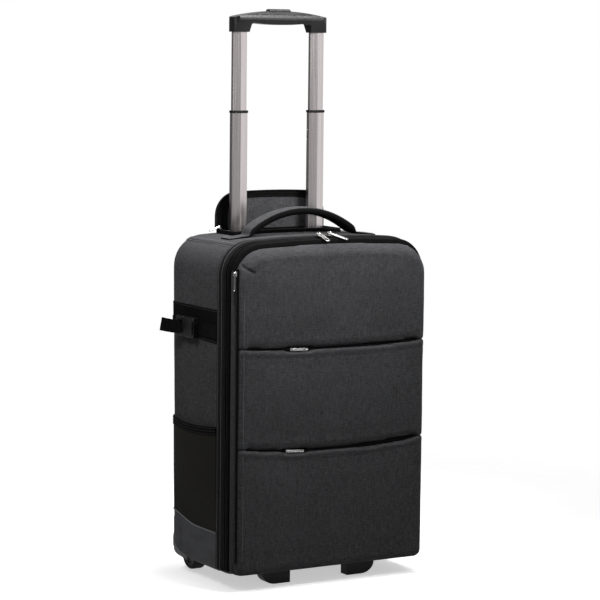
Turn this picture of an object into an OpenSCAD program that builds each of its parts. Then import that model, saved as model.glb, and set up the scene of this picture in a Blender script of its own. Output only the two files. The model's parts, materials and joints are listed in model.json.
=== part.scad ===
// Soft-sided rolling flight case: zipped front lid, two-stage pull handle, two rear wheels.
// Frame: floor at z = 0, front faces -Y, width along X. Sizes in millimetres.

/* [Case] */
// Width of the padded body
case_w = 356; // [330:1:380]
// Depth of the body behind the parting plane of the lid
body_d = 195; // [180:1:220]
// Depth of the lid in front of the parting plane
lid_d = 37; // [34:1:46]
// Height of the crown of the top above the floor
case_top = 560; // [540:1:600]
// Clear height under the body
ground_gap = 24; // [22:1:28]
// Thickness of the padded walls
wall = 6; // [5:0.5:8]
// Radius of the two upper corners
corner_r = 52; // [44:1:60]
// Radius of the two lower corners
base_r = 14; // [10:1:18]
// Fall of the crowned top from its middle to the sides
crown_drop = 8; // [6:0.5:10]
// Rounding of the rear edges
back_r = 16; // [14:1:26]
// How far the back leans in at the bottom
back_lean = 12; // [6:1:14]

/* [Lid] */
// Gap between the lid and the body at rest
lid_gap = 0.4; // [0.3:0.1:0.8]
// How far the edge of the lid is set in from the edge of the body
lid_inset = 3; // [2.5:0.5:5]
// Thickness of the pocket panels on the lid
panel_d = 18; // [16:1:20]
// Rounding of the front edges of the pocket panels
front_r = 10; // [8:1:12]
// Distance of the upright zip behind the front face
side_zip_set = 6; // [5:0.5:8]
// Height of the upper pocket line at the sides
line_one_z = 391; // [370:1:410]
// Height of the lower pocket line at the sides
line_two_z = 232; // [210:1:250]
// Sag of the upper pocket line in the middle
line_one_sag = 6; // [4:0.5:8]
// Sag of the lower pocket line in the middle
line_two_sag = 11; // [8:0.5:13]
// Height of the gap along each pocket line
line_gap = 7; // [6.6:0.2:9]

/* [Zips] */
// Width of each half of the main zip
tape_w = 17; // [15:1:18]
// Thickness of the main zip tapes
tape_t = 1; // [0.8:0.1:1.4]
// Length of a main pull tab
main_pull_l = 36; // [30:1:38]
// Length of a small pull tab
small_pull_l = 28; // [22:1:30]

/* [Pull handle] */
// Distance between the centre lines of the tubes
tube_span = 146; // [136:1:150]
// Distance of the tubes in front of the back face
tube_set = 40; // [40:1:44]
// Width of the first telescopic stage
tube_w = 29; // [26:0.5:30]
// Depth of the flat side of a tube
tube_side = 8; // [7:0.5:9]
// Rise of the ridge on the front and the back of a tube
tube_ridge = 4.5; // [3.5:0.5:5]
// Wall of a tube
tube_wall = 1.2; // [1:0.1:1.4]
// Sliding clearance between two stages
slide_gap = 0.4; // [0.3:0.05:0.5]
// Height of the collars when the handle is out
collar_z = 755; // [735:1:765]
// Length of the first telescopic stage
middle_l = 275; // [265:1:285]
// Height of the underside of the grip blocks when the handle is out
grip_z = 887; // [875:1:900]
// Length of the grip
grip_w = 178; // [178:1:190]
// Depth of the grip
grip_d = 30; // [28:1:31]
// Rounding of the ends of the grip, seen from above
grip_end_r = 12; // [8:0.5:13]
// Rounding of the long upper edges of the grip
grip_top_r = 13; // [7:0.5:13.5]
// Wall of the grip round a tube, at its lower end
leg_wall = 1.6; // [1.2:0.1:2]
// Press of the release button
button_travel = 2.5; // [2:0.1:2.6]

/* [Wheels and feet] */
// Radius of the wheels
wheel_r = 26; // [24:0.5:28]
// Width of the wheels
wheel_w = 22; // [20:1:24]
// Distance of the middle of a wheel from the side of the case
wheel_in = 35; // [33:1:39]
// Distance of the wheel centres in front of the back face
wheel_set = 28; // [26:1:30]
// Radius of the axles
axle_r = 4; // [3.5:0.1:4.5]
// Distance of the inner end of a foot from the middle
foot_inner = 54; // [50:1:58]
// Distance of the outer end of a foot from the middle
foot_outer = 106; // [98:1:124]
// Depth of the feet
foot_d = 20; // [18:1:22]

/* [Carry handle and flap] */
// Height of the top of the carry handle above the crown
handle_rise = 44; // [40:1:48]
// Half the span of the padded arch of the carry handle
handle_half = 89; // [84:1:94]
// Width of the carry handle strap
handle_w = 34; // [30:1:36]
// Thickness of the carry handle
handle_t = 12; // [10:1:13]
// Width of the trolley recess
recess_w = 200; // [196:1:204]
// Depth of the trolley recess from front to back
recess_d = 61; // [59:1:62]
// Height of the flap
flap_h = 62; // [56:1:66]
// Thickness of the flap
flap_t = 3; // [2.5:0.5:3.5]

/* [Side fittings] */
// Height of the middle of the side webbing
web_z = 412; // [400:1:425]
// Width of the side webbing
web_w = 22; // [20:1:24]
// Height of the black band behind the webbing
band_h = 54; // [50:1:58]
// Length of the fixed half of a buckle
buckle_l = 34; // [32:1:36]
// Height of a buckle across the webbing
buckle_h = 32; // [30:1:34]
// Length of the loose half of a buckle behind the fixed half
clip_l = 27; // [26:1:30]
// Free length of a strap tail
tail_l = 29; // [24:1:34]
// Angle at which a strap tail stands off the side
tail_turn = 52; // [40:1:56]
// Thickness of a strap tail
tail_t = 1.4; // [1.2:0.1:1.8]
// Top of the mesh pockets below the hem
mesh_top = 246; // [230:1:260]
// Bottom of the mesh pockets
mesh_bottom = 90; // [86:1:96]
// Bulge of the mesh pockets in the middle
mesh_bulge = 10; // [9:0.5:12]

/* [Hidden] */
$fn = 48;
half_w = case_w / 2;
y_front = -(lid_d + body_d) / 2;
y_part = y_front + lid_d;
y_back = -y_front;
crown_rad = (half_w * half_w + crown_drop * crown_drop) / (2 * crown_drop);
crown_mid = case_top - crown_rad;
lean_step = back_lean / (case_top - ground_gap);
tube_y = y_back - tube_set;
tube_x = tube_span / 2;
wheel_y = y_back - wheel_set;
wheel_x = half_w - wheel_in;
lid_axis_y = y_part - lid_gap / 2;
lid_axis_z = ground_gap + 2;
y_panel = y_front + panel_d;
lid_side_x = half_w - lid_inset;
recess_back = tube_y + 20.5;
recess_front = recess_back - recess_d;
tray_floor = case_top - 34;
rim_h = 6;
flap_y = recess_back + 2;
flap_axis_z = case_top + 2;
flap_z = flap_axis_z + 2.4;
flap_w = recess_w + 8;
handle_y = recess_front - 35;
barrel_r = 6;
barrel_z = case_top + barrel_r - 0.4;
barrel_x = handle_half - 9;
arch_h = handle_rise - handle_t / 2 - barrel_r - 4.6;
arch_r = (handle_half * handle_half + arch_h * arch_h) / (2 * arch_h);
arch_mid = case_top + handle_rise - handle_t / 2 - arch_r;
arch_angle = asin(handle_half / arch_r);
grip_joint = grip_z + 20;
grip_under = grip_z + 15;
grip_belly = 3;
grip_top = grip_z + 35;
stage_inset = tube_wall + slide_gap;
leg_half = tube_w / 2 - stage_inset + leg_wall;
leg_deep = tube_side / 2 + tube_ridge - stage_inset + leg_wall;
leg_in = tube_x - leg_half;
leg_flare = 2;
leg_fillet = 4;
belly_half = leg_in - leg_flare - leg_fillet;
outer_inset = -slide_gap;
plug_z = collar_z - 65;
plug_h = 34;
lock_z = plug_z + 23;
rod_z = plug_z + 12;
spring_l = 13.9;
bracket_h = 16;
bracket_over = 20;
bracket_front = 24;
cup_half = wheel_w / 2 + 6;
cup_front = wheel_y - wheel_r - 7;
cup_top = wheel_r * 2 + 8;
foot_y = y_part + 4;
line_one_rad = (half_w * half_w + line_one_sag * line_one_sag) / (2 * line_one_sag);
line_two_rad = (half_w * half_w + line_two_sag * line_two_sag) / (2 * line_two_sag);
zip_floor = y_front + 6;
side_zip_y = y_front + side_zip_set;
slider_lift = tape_t + 0.3;
main_turn = asin(10 / crown_rad);
upper_turn = asin(76 / line_one_rad);
lower_turn = asin(82 / line_two_rad);
side_slider_z = case_top - 50;
flap_slider_y = recess_back - 9;
band_z = web_z + 8;
band_front = y_part + 20;
guard_back = wheel_y - wheel_r + 2;
band_back = y_back - back_r - 2;
buckle_y = y_back - 72;
prong_l = buckle_l - 12;
chord = band_back - band_front;
mesh_rad = (chord * chord / 4 + mesh_bulge * mesh_bulge) / (2 * mesh_bulge);

cloth = [0.24, 0.25, 0.27];
tape_black = [0.08, 0.08, 0.09];
plastic_black = [0.11, 0.11, 0.12];
guard_grey = [0.3, 0.31, 0.33];
board_tone = [0.45, 0.45, 0.44];
alloy = [0.74, 0.72, 0.72];
nickel = [0.8, 0.8, 0.8];
rubber = [0.07, 0.07, 0.07];

// Points on an arc about (cx, cz)
function arc(cx, cz, r, a0, a1, n) =
    [for (i = [0 : n]) let (a = a0 + (a1 - a0) * i / n) [cx + r * cos(a), cz + r * sin(a)]];

// Right corner, crowned top and left corner of a shape, the corners tangent to the crown
function crowned_top(w, top, drop, r, inset) =
    let (rad = (w * w + drop * drop) / (2 * drop),
        mid = top - rad,
        big = rad - inset,
        side = w - inset,
        small = r - inset,
        cz = mid + sqrt(pow(big - small, 2) - pow(side - small, 2)),
        turn = atan2(cz - mid, side - small))
    concat(arc(side - small, cz, small, 0, turn, 10),
        [for (i = [1 : 11]) let (a = turn + (180 - 2 * turn) * i / 12) [big * cos(a), mid + big * sin(a)]],
        arc(-(side - small), cz, small, 180 - turn, 180, 10));

// Front outline of the case, set in by a given amount
function case_outline(inset) =
    let (side = half_w - inset, low = ground_gap + inset, r = max(base_r - inset, 5))
    concat(arc(side - r, low + r, r, -90, 0, 6),
        crowned_top(half_w, case_top, crown_drop, corner_r, inset),
        arc(-(side - r), low + r, r, 180, 270, 6));

// Outline of the flap, set in by a given amount
function flap_outline(inset) =
    concat([[flap_w / 2 - inset, flap_z]],
        crowned_top(flap_w / 2, flap_z + flap_h, 4, 40, inset),
        [[-(flap_w / 2 - inset), flap_z]]);

// Section of a tube: two flat sides and a shallow ridge front and back, set in by a given amount
function tube_section(inset) =
    let (half = tube_w / 2,
        slope = tube_ridge / half,
        cut = inset * sqrt(1 + slope * slope),
        side = half - inset,
        edge = tube_side / 2 + tube_ridge - slope * side - cut,
        ridge = tube_side / 2 + tube_ridge - cut)
    [[-side, -edge], [0, -ridge], [side, -edge], [side, edge], [0, ridge], [-side, edge]];

// Height of the crowned top at x, raised by a given amount
function crown_z(x, lift) = crown_mid + sqrt(pow(crown_rad + lift, 2) - x * x);

// Flat strip with round edges: thickness along x, width along y
function strip_section(t, w) =
    concat(arc(0, w / 2 - t / 2, t / 2, 0, 180, 10), arc(0, -(w / 2 - t / 2), t / 2, 180, 360, 10));

// Height of a sagging pocket line at x
function sag_z(x, z_side, sag, rad) = z_side - sag + rad - sqrt(rad * rad - x * x);

function sag_line(z_side, sag, rad, shift) =
    [for (i = [0 : 24]) let (x = half_w * (i / 12 - 1)) [x, sag_z(x, z_side, sag, rad) + shift]];

function reversed(list) = [for (i = [len(list) - 1 : -1 : 0]) list[i]];

module both_sides() {
    children();
    mirror([1, 0, 0]) children();
}

module along_y(y0, y1) {
    translate([0, y1, 0]) rotate([90, 0, 0]) linear_extrude(y1 - y0) children();
}

module along_x(x0, x1) {
    translate([x0, 0, 0]) rotate([90, 0, 90]) linear_extrude(x1 - x0) children();
}

module case_slab(y0, y1, inset) {
    along_y(y0, y1) polygon(case_outline(inset));
}

// Ring of points on the outline of the case, optionally moved forward towards the bottom
function case_ring(y, inset, lean) =
    [for (p = case_outline(inset)) [p[0], y + lean * lean_step * (p[1] - case_top), p[1]]];

// Closed solid through rings that run from front to back
module loft(rings) {
    n = len(rings[0]);
    last = len(rings) - 1;
    polyhedron(
        points = [for (ring = rings) for (p = ring) p],
        faces = concat(
            [[for (i = [n - 1 : -1 : 0]) i]],
            [for (k = [0 : last - 1]) for (i = [0 : n - 1]) let (j = (i + 1) % n)
                [k * n + i, k * n + j, (k + 1) * n + j]],
            [for (k = [0 : last - 1]) for (i = [0 : n - 1]) let (j = (i + 1) % n)
                [k * n + i, (k + 1) * n + j, (k + 1) * n + i]],
            [[for (i = [0 : n - 1]) last * n + i]]));
}

// Body of the case, set in by a given amount, rounded along its rear edges
module soft_body(inset, y0) {
    edge = back_r - inset;
    rear = y_back - inset;
    loft(concat([case_ring(y0, inset, 0)],
        [for (a = [0 : 22.5 : 90]) case_ring(rear - edge + edge * sin(a), inset + edge * (1 - cos(a)), 1)]));
}

// Front of the lid, rounded towards the front
module soft_front() {
    loft(concat(
        [for (a = [90 : -22.5 : 0])
            case_ring(y_front + front_r * (1 - sin(a)), lid_inset + front_r * (1 - cos(a)), 0)],
        [case_ring(y_panel, lid_inset, 0)]));
}

// Everything above or below a pocket line, as a block through the front of the lid
module above_line(z_side, sag, rad, shift) {
    along_y(y_front - 5, y_panel + 5)
        polygon(concat(sag_line(z_side, sag, rad, shift),
            [[half_w, case_top + 20], [-half_w, case_top + 20]]));
}

module below_line(z_side, sag, rad, shift) {
    along_y(y_front - 5, y_panel + 5)
        polygon(concat(reversed(sag_line(z_side, sag, rad, shift)), [[-half_w, 0], [half_w, 0]]));
}

module between_lines(z_side, sag, rad, low, high) {
    polygon(concat(sag_line(z_side, sag, rad, low), reversed(sag_line(z_side, sag, rad, high))));
}

// Skin of a given thickness that lies on the crowned top
module top_skin(t, x0, x1, y0, y1) {
    intersection() {
        difference() {
            case_slab(y0, y1, -t);
            case_slab(y0 - 1, y1 + 1, 0);
        }
        translate([x0, y0, case_top - 40]) cube([x1 - x0, y1 - y0, 80]);
    }
}

module side_zip_slot() {
    translate([-half_w - 4, side_zip_y, ground_gap + 26])
        cube([half_w + 4 - lid_side_x + 3.5, 5, side_slider_z + 8 - ground_gap - 26]);
}

module hinge_groove(r) {
    translate([-half_w, lid_axis_y, lid_axis_z]) rotate([0, 90, 0]) cylinder(r = r, h = case_w);
}

module foot_screw_places() {
    for (x = [-46, -24, 24, 46]) translate([x, foot_y + foot_d / 2, 0]) children();
}

module board_screw_places() {
    for (x = [-50, 50]) translate([x, tube_y - 28, ground_gap + wall + 8]) rotate([-90, 0, 0]) children();
}

module at_tubes() {
    for (x = [-tube_x, tube_x]) translate([x, tube_y, 0]) children();
}

module tube(z0, z1, outside, inside) {
    at_tubes() difference() {
        translate([0, 0, z0]) linear_extrude(z1 - z0) polygon(tube_section(outside));
        translate([0, 0, z0 - 1]) linear_extrude(z1 - z0 + 2) polygon(tube_section(inside));
    }
}

// Case

module case_shell() {
    color(cloth) difference() {
        soft_body(0, y_part);
        soft_body(wall, y_part - 1);
        translate([-recess_w / 2, recess_front, case_top - 50]) cube([recess_w, recess_d, 90]);
        both_sides() translate([wheel_x - cup_half, cup_front, 0]) cube([cup_half * 2, 120, cup_top]);
        hinge_groove(2.4);
        foot_screw_places() cylinder(r = 1.6, h = ground_gap + wall + 4);
    }
}

module inner_board() {
    color(board_tone) difference() {
        translate([-(half_w - 15), tube_y - 28, ground_gap + wall])
            cube([case_w - 30, 4, tray_floor - ground_gap - wall]);
        board_screw_places() translate([0, 0, -1]) cylinder(r = 2, h = 8);
    }
}

module base_guards() {
    color(guard_grey) both_sides()
        translate([half_w, band_front, ground_gap + base_r])
            cube([1.2, guard_back - band_front, mesh_bottom - 1 - ground_gap - base_r]);
}

module body_zip_tape() {
    color(tape_black) difference() {
        case_slab(y_part, y_part + tape_w, -tape_t);
        case_slab(y_part - 1, y_part + tape_w + 1, 0);
        translate([-half_w - 20, y_part - 1, -1]) cube([case_w + 40, tape_w + 2, ground_gap + 46]);
    }
}

module hinge_pipings() {
    color(tape_black) {
        translate([-half_w + 33, lid_axis_y, lid_axis_z]) rotate([0, 90, 0])
            cylinder(r = 2, h = case_w - 66);
        difference() {
            union() {
                translate([-recess_w / 2, flap_y, flap_axis_z]) rotate([0, 90, 0])
                    cylinder(r = 2, h = recess_w);
                translate([-recess_w / 2, flap_y - 1, case_top - 10]) cube([recess_w, 2, 12]);
            }
            soft_body(0, y_part);
        }
    }
}

module foot_bar() {
    low = ground_gap - 4;
    color(plastic_black) difference() {
        along_y(foot_y, foot_y + foot_d) polygon(concat(
            [[-foot_outer, ground_gap]],
            [for (i = [0 : 8]) let (a = 90 * i / 8)
                [-(foot_inner + 28) - (foot_outer - foot_inner - 28) * cos(a), low - low * sin(a)]],
            [[-foot_inner, 0], [-foot_inner, low], [foot_inner, low], [foot_inner, 0]],
            [for (i = [8 : -1 : 0]) let (a = 90 * i / 8)
                [foot_inner + 28 + (foot_outer - foot_inner - 28) * cos(a), low - low * sin(a)]],
            [[foot_outer, ground_gap]]));
        foot_screw_places() cylinder(r = 1.6, h = ground_gap + 1);
    }
}

module case_screws() {
    low = ground_gap - 4;
    color(nickel) {
        foot_screw_places() {
            translate([0, 0, low - 2]) cylinder(r = 3.2, h = 2);
            translate([0, 0, low - 1]) cylinder(r = 1.6, h = 5 + wall);
        }
        board_screw_places() {
            translate([0, 0, -1.6]) cylinder(r = 4, h = 1.6);
            translate([0, 0, -1]) cylinder(r = 2, h = 13);
        }
    }
}

module wheel_housings() {
    color(plastic_black) both_sides() difference() {
        union() {
            intersection() {
                soft_body(0, y_part);
                translate([wheel_x - cup_half, cup_front, 0]) cube([cup_half * 2, 120, cup_top]);
            }
            for (x = [wheel_x - cup_half, wheel_x + cup_half - 3.5])
                translate([x, wheel_y, wheel_r]) rotate([0, 90, 0]) cylinder(r = 11, h = 3.5);
            intersection() {
                difference() {
                    soft_body(-1.5, y_part);
                    soft_body(0, y_part - 1);
                }
                translate([wheel_x - cup_half - 3, wheel_y - 18, 0]) cube([80, 80, mesh_bottom - 1]);
            }
        }
        translate([wheel_x, wheel_y, wheel_r]) rotate([0, 90, 0])
            cylinder(r = wheel_r + 3, h = wheel_w + 5, center = true);
        translate([wheel_x - wheel_w / 2 - 2.5, wheel_y, 0]) cube([wheel_w + 5, 60, wheel_r + 24]);
        translate([wheel_x - wheel_w / 2 - 2.5, wheel_y - wheel_r - 3, 0])
            cube([wheel_w + 5, wheel_r + 10, wheel_r]);
        translate([wheel_x, wheel_y, wheel_r]) rotate([0, 90, 0])
            cylinder(r = axle_r, h = cup_half * 2 + 2, center = true);
    }
}

module wheel_axles() {
    color(nickel) both_sides() translate([wheel_x, wheel_y, wheel_r]) rotate([0, 90, 0])
        cylinder(r = axle_r, h = cup_half * 2, center = true);
}

module trolley_tray() {
    color(plastic_black) difference() {
        translate([-recess_w / 2, recess_front, tray_floor]) cube([recess_w, recess_d, 28]);
        translate([-recess_w / 2 + 2, recess_front + 2, tray_floor + 3])
            cube([recess_w - 4, recess_d - 4, 30]);
        at_tubes() translate([0, 0, tray_floor - 1]) linear_extrude(5) polygon(tube_section(outer_inset));
    }
}

module outer_tubes() {
    color(alloy) tube(ground_gap + wall + bracket_h, tray_floor, outer_inset - tube_wall, outer_inset);
}

module trolley_bracket() {
    color(plastic_black) difference() {
        union() {
            along_x(-tube_x - bracket_over, tube_x + bracket_over) translate([tube_y, ground_gap + wall])
                polygon([[-bracket_front, 0], [6, 0], [12, 5], [12, bracket_h], [-bracket_front, bracket_h]]);
            at_tubes() translate([0, 0, ground_gap + wall + bracket_h]) linear_extrude(12)
                polygon(tube_section(0));
        }
        board_screw_places() cylinder(r = 2, h = 12);
    }
}

module pocket_rim_tape() {
    color(tape_black) difference() {
        top_skin(rim_h, -recess_w / 2 - 3, recess_w / 2 + 3, recess_front - 3, recess_back - 2);
        translate([-recess_w / 2, recess_front, case_top - 50]) cube([recess_w, recess_d, 90]);
    }
}

module handle_anchors() {
    color(cloth) both_sides() difference() {
        union() {
            top_skin(2.5, barrel_x + 16, barrel_x + 48, handle_y - handle_w / 2, handle_y + handle_w / 2);
            translate([barrel_x + 16, handle_y, barrel_z]) rotate([0, 90, 0]) cylinder(r = 8.4, h = 14);
        }
        case_slab(handle_y - 40, handle_y + 40, 0);
        translate([barrel_x, handle_y, barrel_z]) rotate([0, 90, 0]) cylinder(r = barrel_r + 0.3, h = 31);
    }
}

module strap_patches() {
    color(tape_black) both_sides()
        translate([half_w, band_front, band_z - band_h / 2]) cube([1, band_back - band_front, band_h]);
}

module side_straps() {
    color(tape_black) both_sides() {
        translate([half_w + 1, band_front, web_z - web_w / 2])
            cube([1.5, buckle_y - buckle_l - 0.5 - band_front, web_w]);
        translate([half_w + 1, buckle_y + 4, web_z - web_w / 2])
            cube([1.5, band_back - buckle_y - 4, web_w]);
    }
}

module buckle_sockets() {
    color(plastic_black) both_sides() difference() {
        translate([half_w + 1, buckle_y - buckle_l, web_z - buckle_h / 2]) cube([10.5, buckle_l, buckle_h]);
        translate([half_w + 3, buckle_y - prong_l - 3, web_z - buckle_h / 2 + 3])
            cube([6.5, prong_l + 8, buckle_h - 6]);
        translate([half_w + 3, buckle_y - buckle_l + 2, web_z - web_w / 2]) cube([20, 4, web_w]);
    }
}

// Circle in plan that a mesh pocket follows, on the right side
module mesh_plan(grow) {
    intersection() {
        translate([half_w + mesh_bulge - mesh_rad, (band_front + band_back) / 2])
            circle(r = mesh_rad + grow, $fn = 180);
        translate([half_w, band_front - 20]) square([60, chord + 40]);
    }
}

module mesh_pockets() {
    color(tape_black) both_sides() difference() {
        translate([0, 0, mesh_bottom]) linear_extrude(mesh_top - mesh_bottom) mesh_plan(0);
        translate([0, 0, mesh_bottom + 2]) linear_extrude(mesh_top) mesh_plan(-1.5);
    }
}

module pocket_hems() {
    color(tape_black) both_sides() translate([0, 0, mesh_top]) linear_extrude(14) difference() {
        mesh_plan(0.6);
        mesh_plan(-1.5);
    }
}

// Lid

module lid_shell() {
    color(cloth) difference() {
        case_slab(y_panel, y_part - lid_gap, lid_inset);
        case_slab(y_panel + 5, y_part, lid_inset + 5);
        hinge_groove(2.4);
    }
}

module lid_zip_tape() {
    color(tape_black) difference() {
        case_slab(y_part - tape_w + 1, y_part - lid_gap, lid_inset - 2 * tape_t);
        case_slab(y_part - tape_w, y_part, lid_inset);
        translate([-half_w - 20, y_part - 30, -1]) cube([case_w + 40, 40, ground_gap + 46]);
    }
}

module upper_panel() {
    color(cloth) difference() {
        intersection() {
            soft_front();
            above_line(line_one_z, line_one_sag, line_one_rad, line_gap / 2);
        }
        side_zip_slot();
    }
}

module middle_pocket() {
    color(cloth) difference() {
        intersection() {
            soft_front();
            below_line(line_one_z, line_one_sag, line_one_rad, -line_gap / 2);
            above_line(line_two_z, line_two_sag, line_two_rad, line_gap / 2);
        }
        side_zip_slot();
    }
}

module lower_pocket() {
    color(cloth) difference() {
        intersection() {
            soft_front();
            below_line(line_two_z, line_two_sag, line_two_rad, -line_gap / 2);
        }
        side_zip_slot();
    }
}

module pocket_zip_tapes() {
    color(tape_black) intersection() {
        along_y(zip_floor, y_panel) {
            between_lines(line_one_z, line_one_sag, line_one_rad, -line_gap / 2, line_gap / 2);
            between_lines(line_two_z, line_two_sag, line_two_rad, -line_gap / 2, line_gap / 2);
        }
        translate([-half_w + 14, zip_floor - 1, 0]) cube([case_w - 28, 40, case_top]);
    }
}

module side_zip_tape() {
    color(tape_black) intersection() {
        side_zip_slot();
        translate([-lid_side_x - 0.6, y_front, 0]) cube([20, 40, case_top]);
    }
}

// Zip sliders and pulls: travel along x, outward along z, pull tab along +x, pin along y

module slider_plate(l, w) {
    translate([-l / 2, -w / 2, 0]) cube([l, w, 2]);
}

module slider_bail(h, b) {
    difference() {
        translate([-2.3, -b / 2, 1.5]) cube([4.6, b, h + 1.9 - 1.5 + 0.2]);
        translate([0, 0, h]) rotate([90, 0, 0]) cylinder(r = 1.25, h = b + 2, center = true);
    }
}

// Pull tab whose pin is at the origin: fork of inner width b, overall width w
module pull_tab(l, w, b) {
    rotate([90, 0, 0]) cylinder(r = 1.2, h = w, center = true);
    for (s = [-1, 1]) translate([-1.2, s * (b / 2 + 0.3 + (w - b - 0.6) / 4) - (w - b - 0.6) / 4, -0.75])
        cube([6, (w - b - 0.6) / 2, 1.5]);
    difference() {
        translate([3.6, -w / 2, -0.75]) cube([l - 3.6, w, 1.5]);
        translate([l - 8, -w / 6, -2]) cube([5, w / 3, 4]);
    }
}

module on_crown(turn) {
    translate([0, y_part - lid_gap, crown_mid]) rotate([0, turn, 0])
        translate([0, 0, crown_rad + slider_lift]) children();
}

module main_slider(turn, yaw) {
    color(nickel) on_crown(turn) {
        rotate([0, 0, 90]) slider_plate(10, 13);
        rotate([0, 0, yaw - 90]) slider_bail(5, 4.4);
    }
}

module main_pull(turn, yaw, tilt) {
    color(nickel) on_crown(turn) translate([0, 0, 5]) rotate([0, 0, yaw - 90]) rotate([0, tilt, 0])
        pull_tab(main_pull_l, 9, 4.4);
}

module left_main_slider() {
    main_slider(-main_turn, -4);
}

module right_main_slider() {
    main_slider(main_turn, 27);
}

module left_main_pull() {
    main_pull(-main_turn, -4, 15.5);
}

module right_main_pull() {
    main_pull(main_turn, 27, 14);
}

module on_line(z_side, sag, rad, turn) {
    translate([0, zip_floor - 0.3, z_side - sag + rad]) rotate([0, turn, 0])
        translate([0, 0, -rad]) rotate([90, 0, 0]) children();
}

module upper_pocket_slider() {
    color(nickel) on_line(line_one_z, line_one_sag, line_one_rad, upper_turn) {
        slider_plate(9, 5);
        slider_bail(3.8, 2.6);
    }
}

module upper_pocket_pull() {
    color(nickel) on_line(line_one_z, line_one_sag, line_one_rad, upper_turn) translate([0, 0, 3.8])
        pull_tab(small_pull_l, 5, 2.6);
}

module lower_pocket_slider() {
    color(nickel) on_line(line_two_z, line_two_sag, line_two_rad, lower_turn) {
        slider_plate(9, 5);
        slider_bail(3.8, 2.6);
    }
}

module lower_pocket_pull() {
    color(nickel) on_line(line_two_z, line_two_sag, line_two_rad, lower_turn) translate([0, 0, 3.8])
        pull_tab(small_pull_l, 5, 2.6);
}

module on_side_zip() {
    translate([-lid_side_x - 0.9, side_zip_y + 2.5, side_slider_z]) rotate([0, 0, 180]) rotate([0, 90, 0])
        children();
}

module side_slider() {
    color(nickel) on_side_zip() {
        slider_plate(9, 5);
        slider_bail(3.8, 2.6);
    }
}

module side_pull() {
    color(nickel) on_side_zip() translate([0, 0, 3.8]) pull_tab(small_pull_l, 5, 2.6);
}

module on_rim() {
    translate([-recess_w / 2 - 1.5, flap_slider_y, crown_z(recess_w / 2, rim_h) + 0.3])
        rotate([0, 0, 180]) children();
}

module flap_slider() {
    color(nickel) on_rim() {
        slider_plate(5, 8);
        slider_bail(4.2, 2.6);
    }
}

module flap_pull() {
    color(nickel) on_rim() translate([0, 0, 4.2]) rotate([0, 20, 0]) pull_tab(small_pull_l - 8, 5.4, 2.6);
}

// Pull handle

module middle_tubes() {
    color(alloy) difference() {
        tube(collar_z - middle_l, collar_z, 0, tube_wall);
        for (s = [-1, 1]) translate([s * (tube_x - tube_w / 2), tube_y, 0]) {
            for (z = [lock_z, lock_z + 15]) translate([0, 0, z]) rotate([0, 90, 0])
                cylinder(r = 2, h = 6, center = true);
        }
    }
}

module middle_collars() {
    color(plastic_black) tube(collar_z, collar_z + 4, -0.9, stage_inset - slide_gap);
}

module inner_tubes() {
    color(alloy) difference() {
        tube(plug_z, grip_z + 13, stage_inset, stage_inset + tube_wall);
        at_lock_bolts() cylinder(r = 2, h = 8, center = true);
    }
}

// Places of the lock bolts on the inward faces of the inner tubes, pointing into the tubes
module at_lock_bolts() {
    for (s = [-1, 1]) translate([s * (tube_x - tube_w / 2 + stage_inset), tube_y, lock_z])
        rotate([0, s * 90, 0]) children();
}

module tube_plugs() {
    color(plastic_black) difference() {
        union() {
            at_tubes() translate([0, 0, plug_z]) linear_extrude(plug_h)
                polygon(tube_section(stage_inset + tube_wall));
            at_lock_bolts() translate([0, 0, -slide_gap / 2]) cylinder(r = 1.9, h = tube_wall + 2);
        }
        at_tubes() translate([0, 0, rod_z - button_travel - 3]) cylinder(r = 2.8, h = plug_h);
    }
}

// Section of the grip from front to back: round on top, tapering down to the depth of a tube
module grip_section() {
    round_y = grip_d / 2 - grip_top_r;
    round_z = grip_top - grip_top_r;
    translate([tube_y, 0]) polygon(concat(
        arc(round_y, round_z, grip_top_r, 0, 90, 10), arc(-round_y, round_z, grip_top_r, 90, 180, 10),
        [[-grip_d / 2, grip_joint], [-leg_deep, grip_z], [leg_deep, grip_z], [grip_d / 2, grip_joint]]));
}

module grip_plan() {
    side = grip_w / 2 - grip_end_r;
    deep = grip_d / 2 - grip_end_r;
    translate([0, tube_y, grip_z - 1]) linear_extrude(grip_top - grip_z + 2) polygon(concat(
        arc(side, deep, grip_end_r, 0, 90, 8), arc(-side, deep, grip_end_r, 90, 180, 8),
        arc(-side, -deep, grip_end_r, 180, 270, 8), arc(side, -deep, grip_end_r, 270, 360, 8)));
}

module grip_base() {
    color(plastic_black) difference() {
        intersection() {
            along_y(tube_y - 40, tube_y + 40) polygon(concat(
                [[-grip_w / 2, grip_joint], [-tube_x - leg_half, grip_z], [-leg_in, grip_z]],
                arc(-belly_half, grip_under - leg_fillet, leg_fillet, 180, 90, 6),
                [for (i = [1 : 11]) let (t = i / 6 - 1) [t * belly_half, grip_under - grip_belly * (1 - t * t)]],
                arc(belly_half, grip_under - leg_fillet, leg_fillet, 90, 0, 6),
                [[leg_in, grip_z], [tube_x + leg_half, grip_z], [grip_w / 2, grip_joint]]));
            along_x(-grip_w, grip_w) grip_section();
            grip_plan();
        }
        at_tubes() {
            translate([0, 0, grip_z - 1]) linear_extrude(14) polygon(tube_section(stage_inset));
            cylinder(r = 3, h = grip_joint + 1);
        }
        translate([-tube_x - 5, tube_y - 5.3, grip_joint - button_travel - 0.5])
            cube([tube_span + 10, 10.6, 10]);
    }
}

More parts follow.
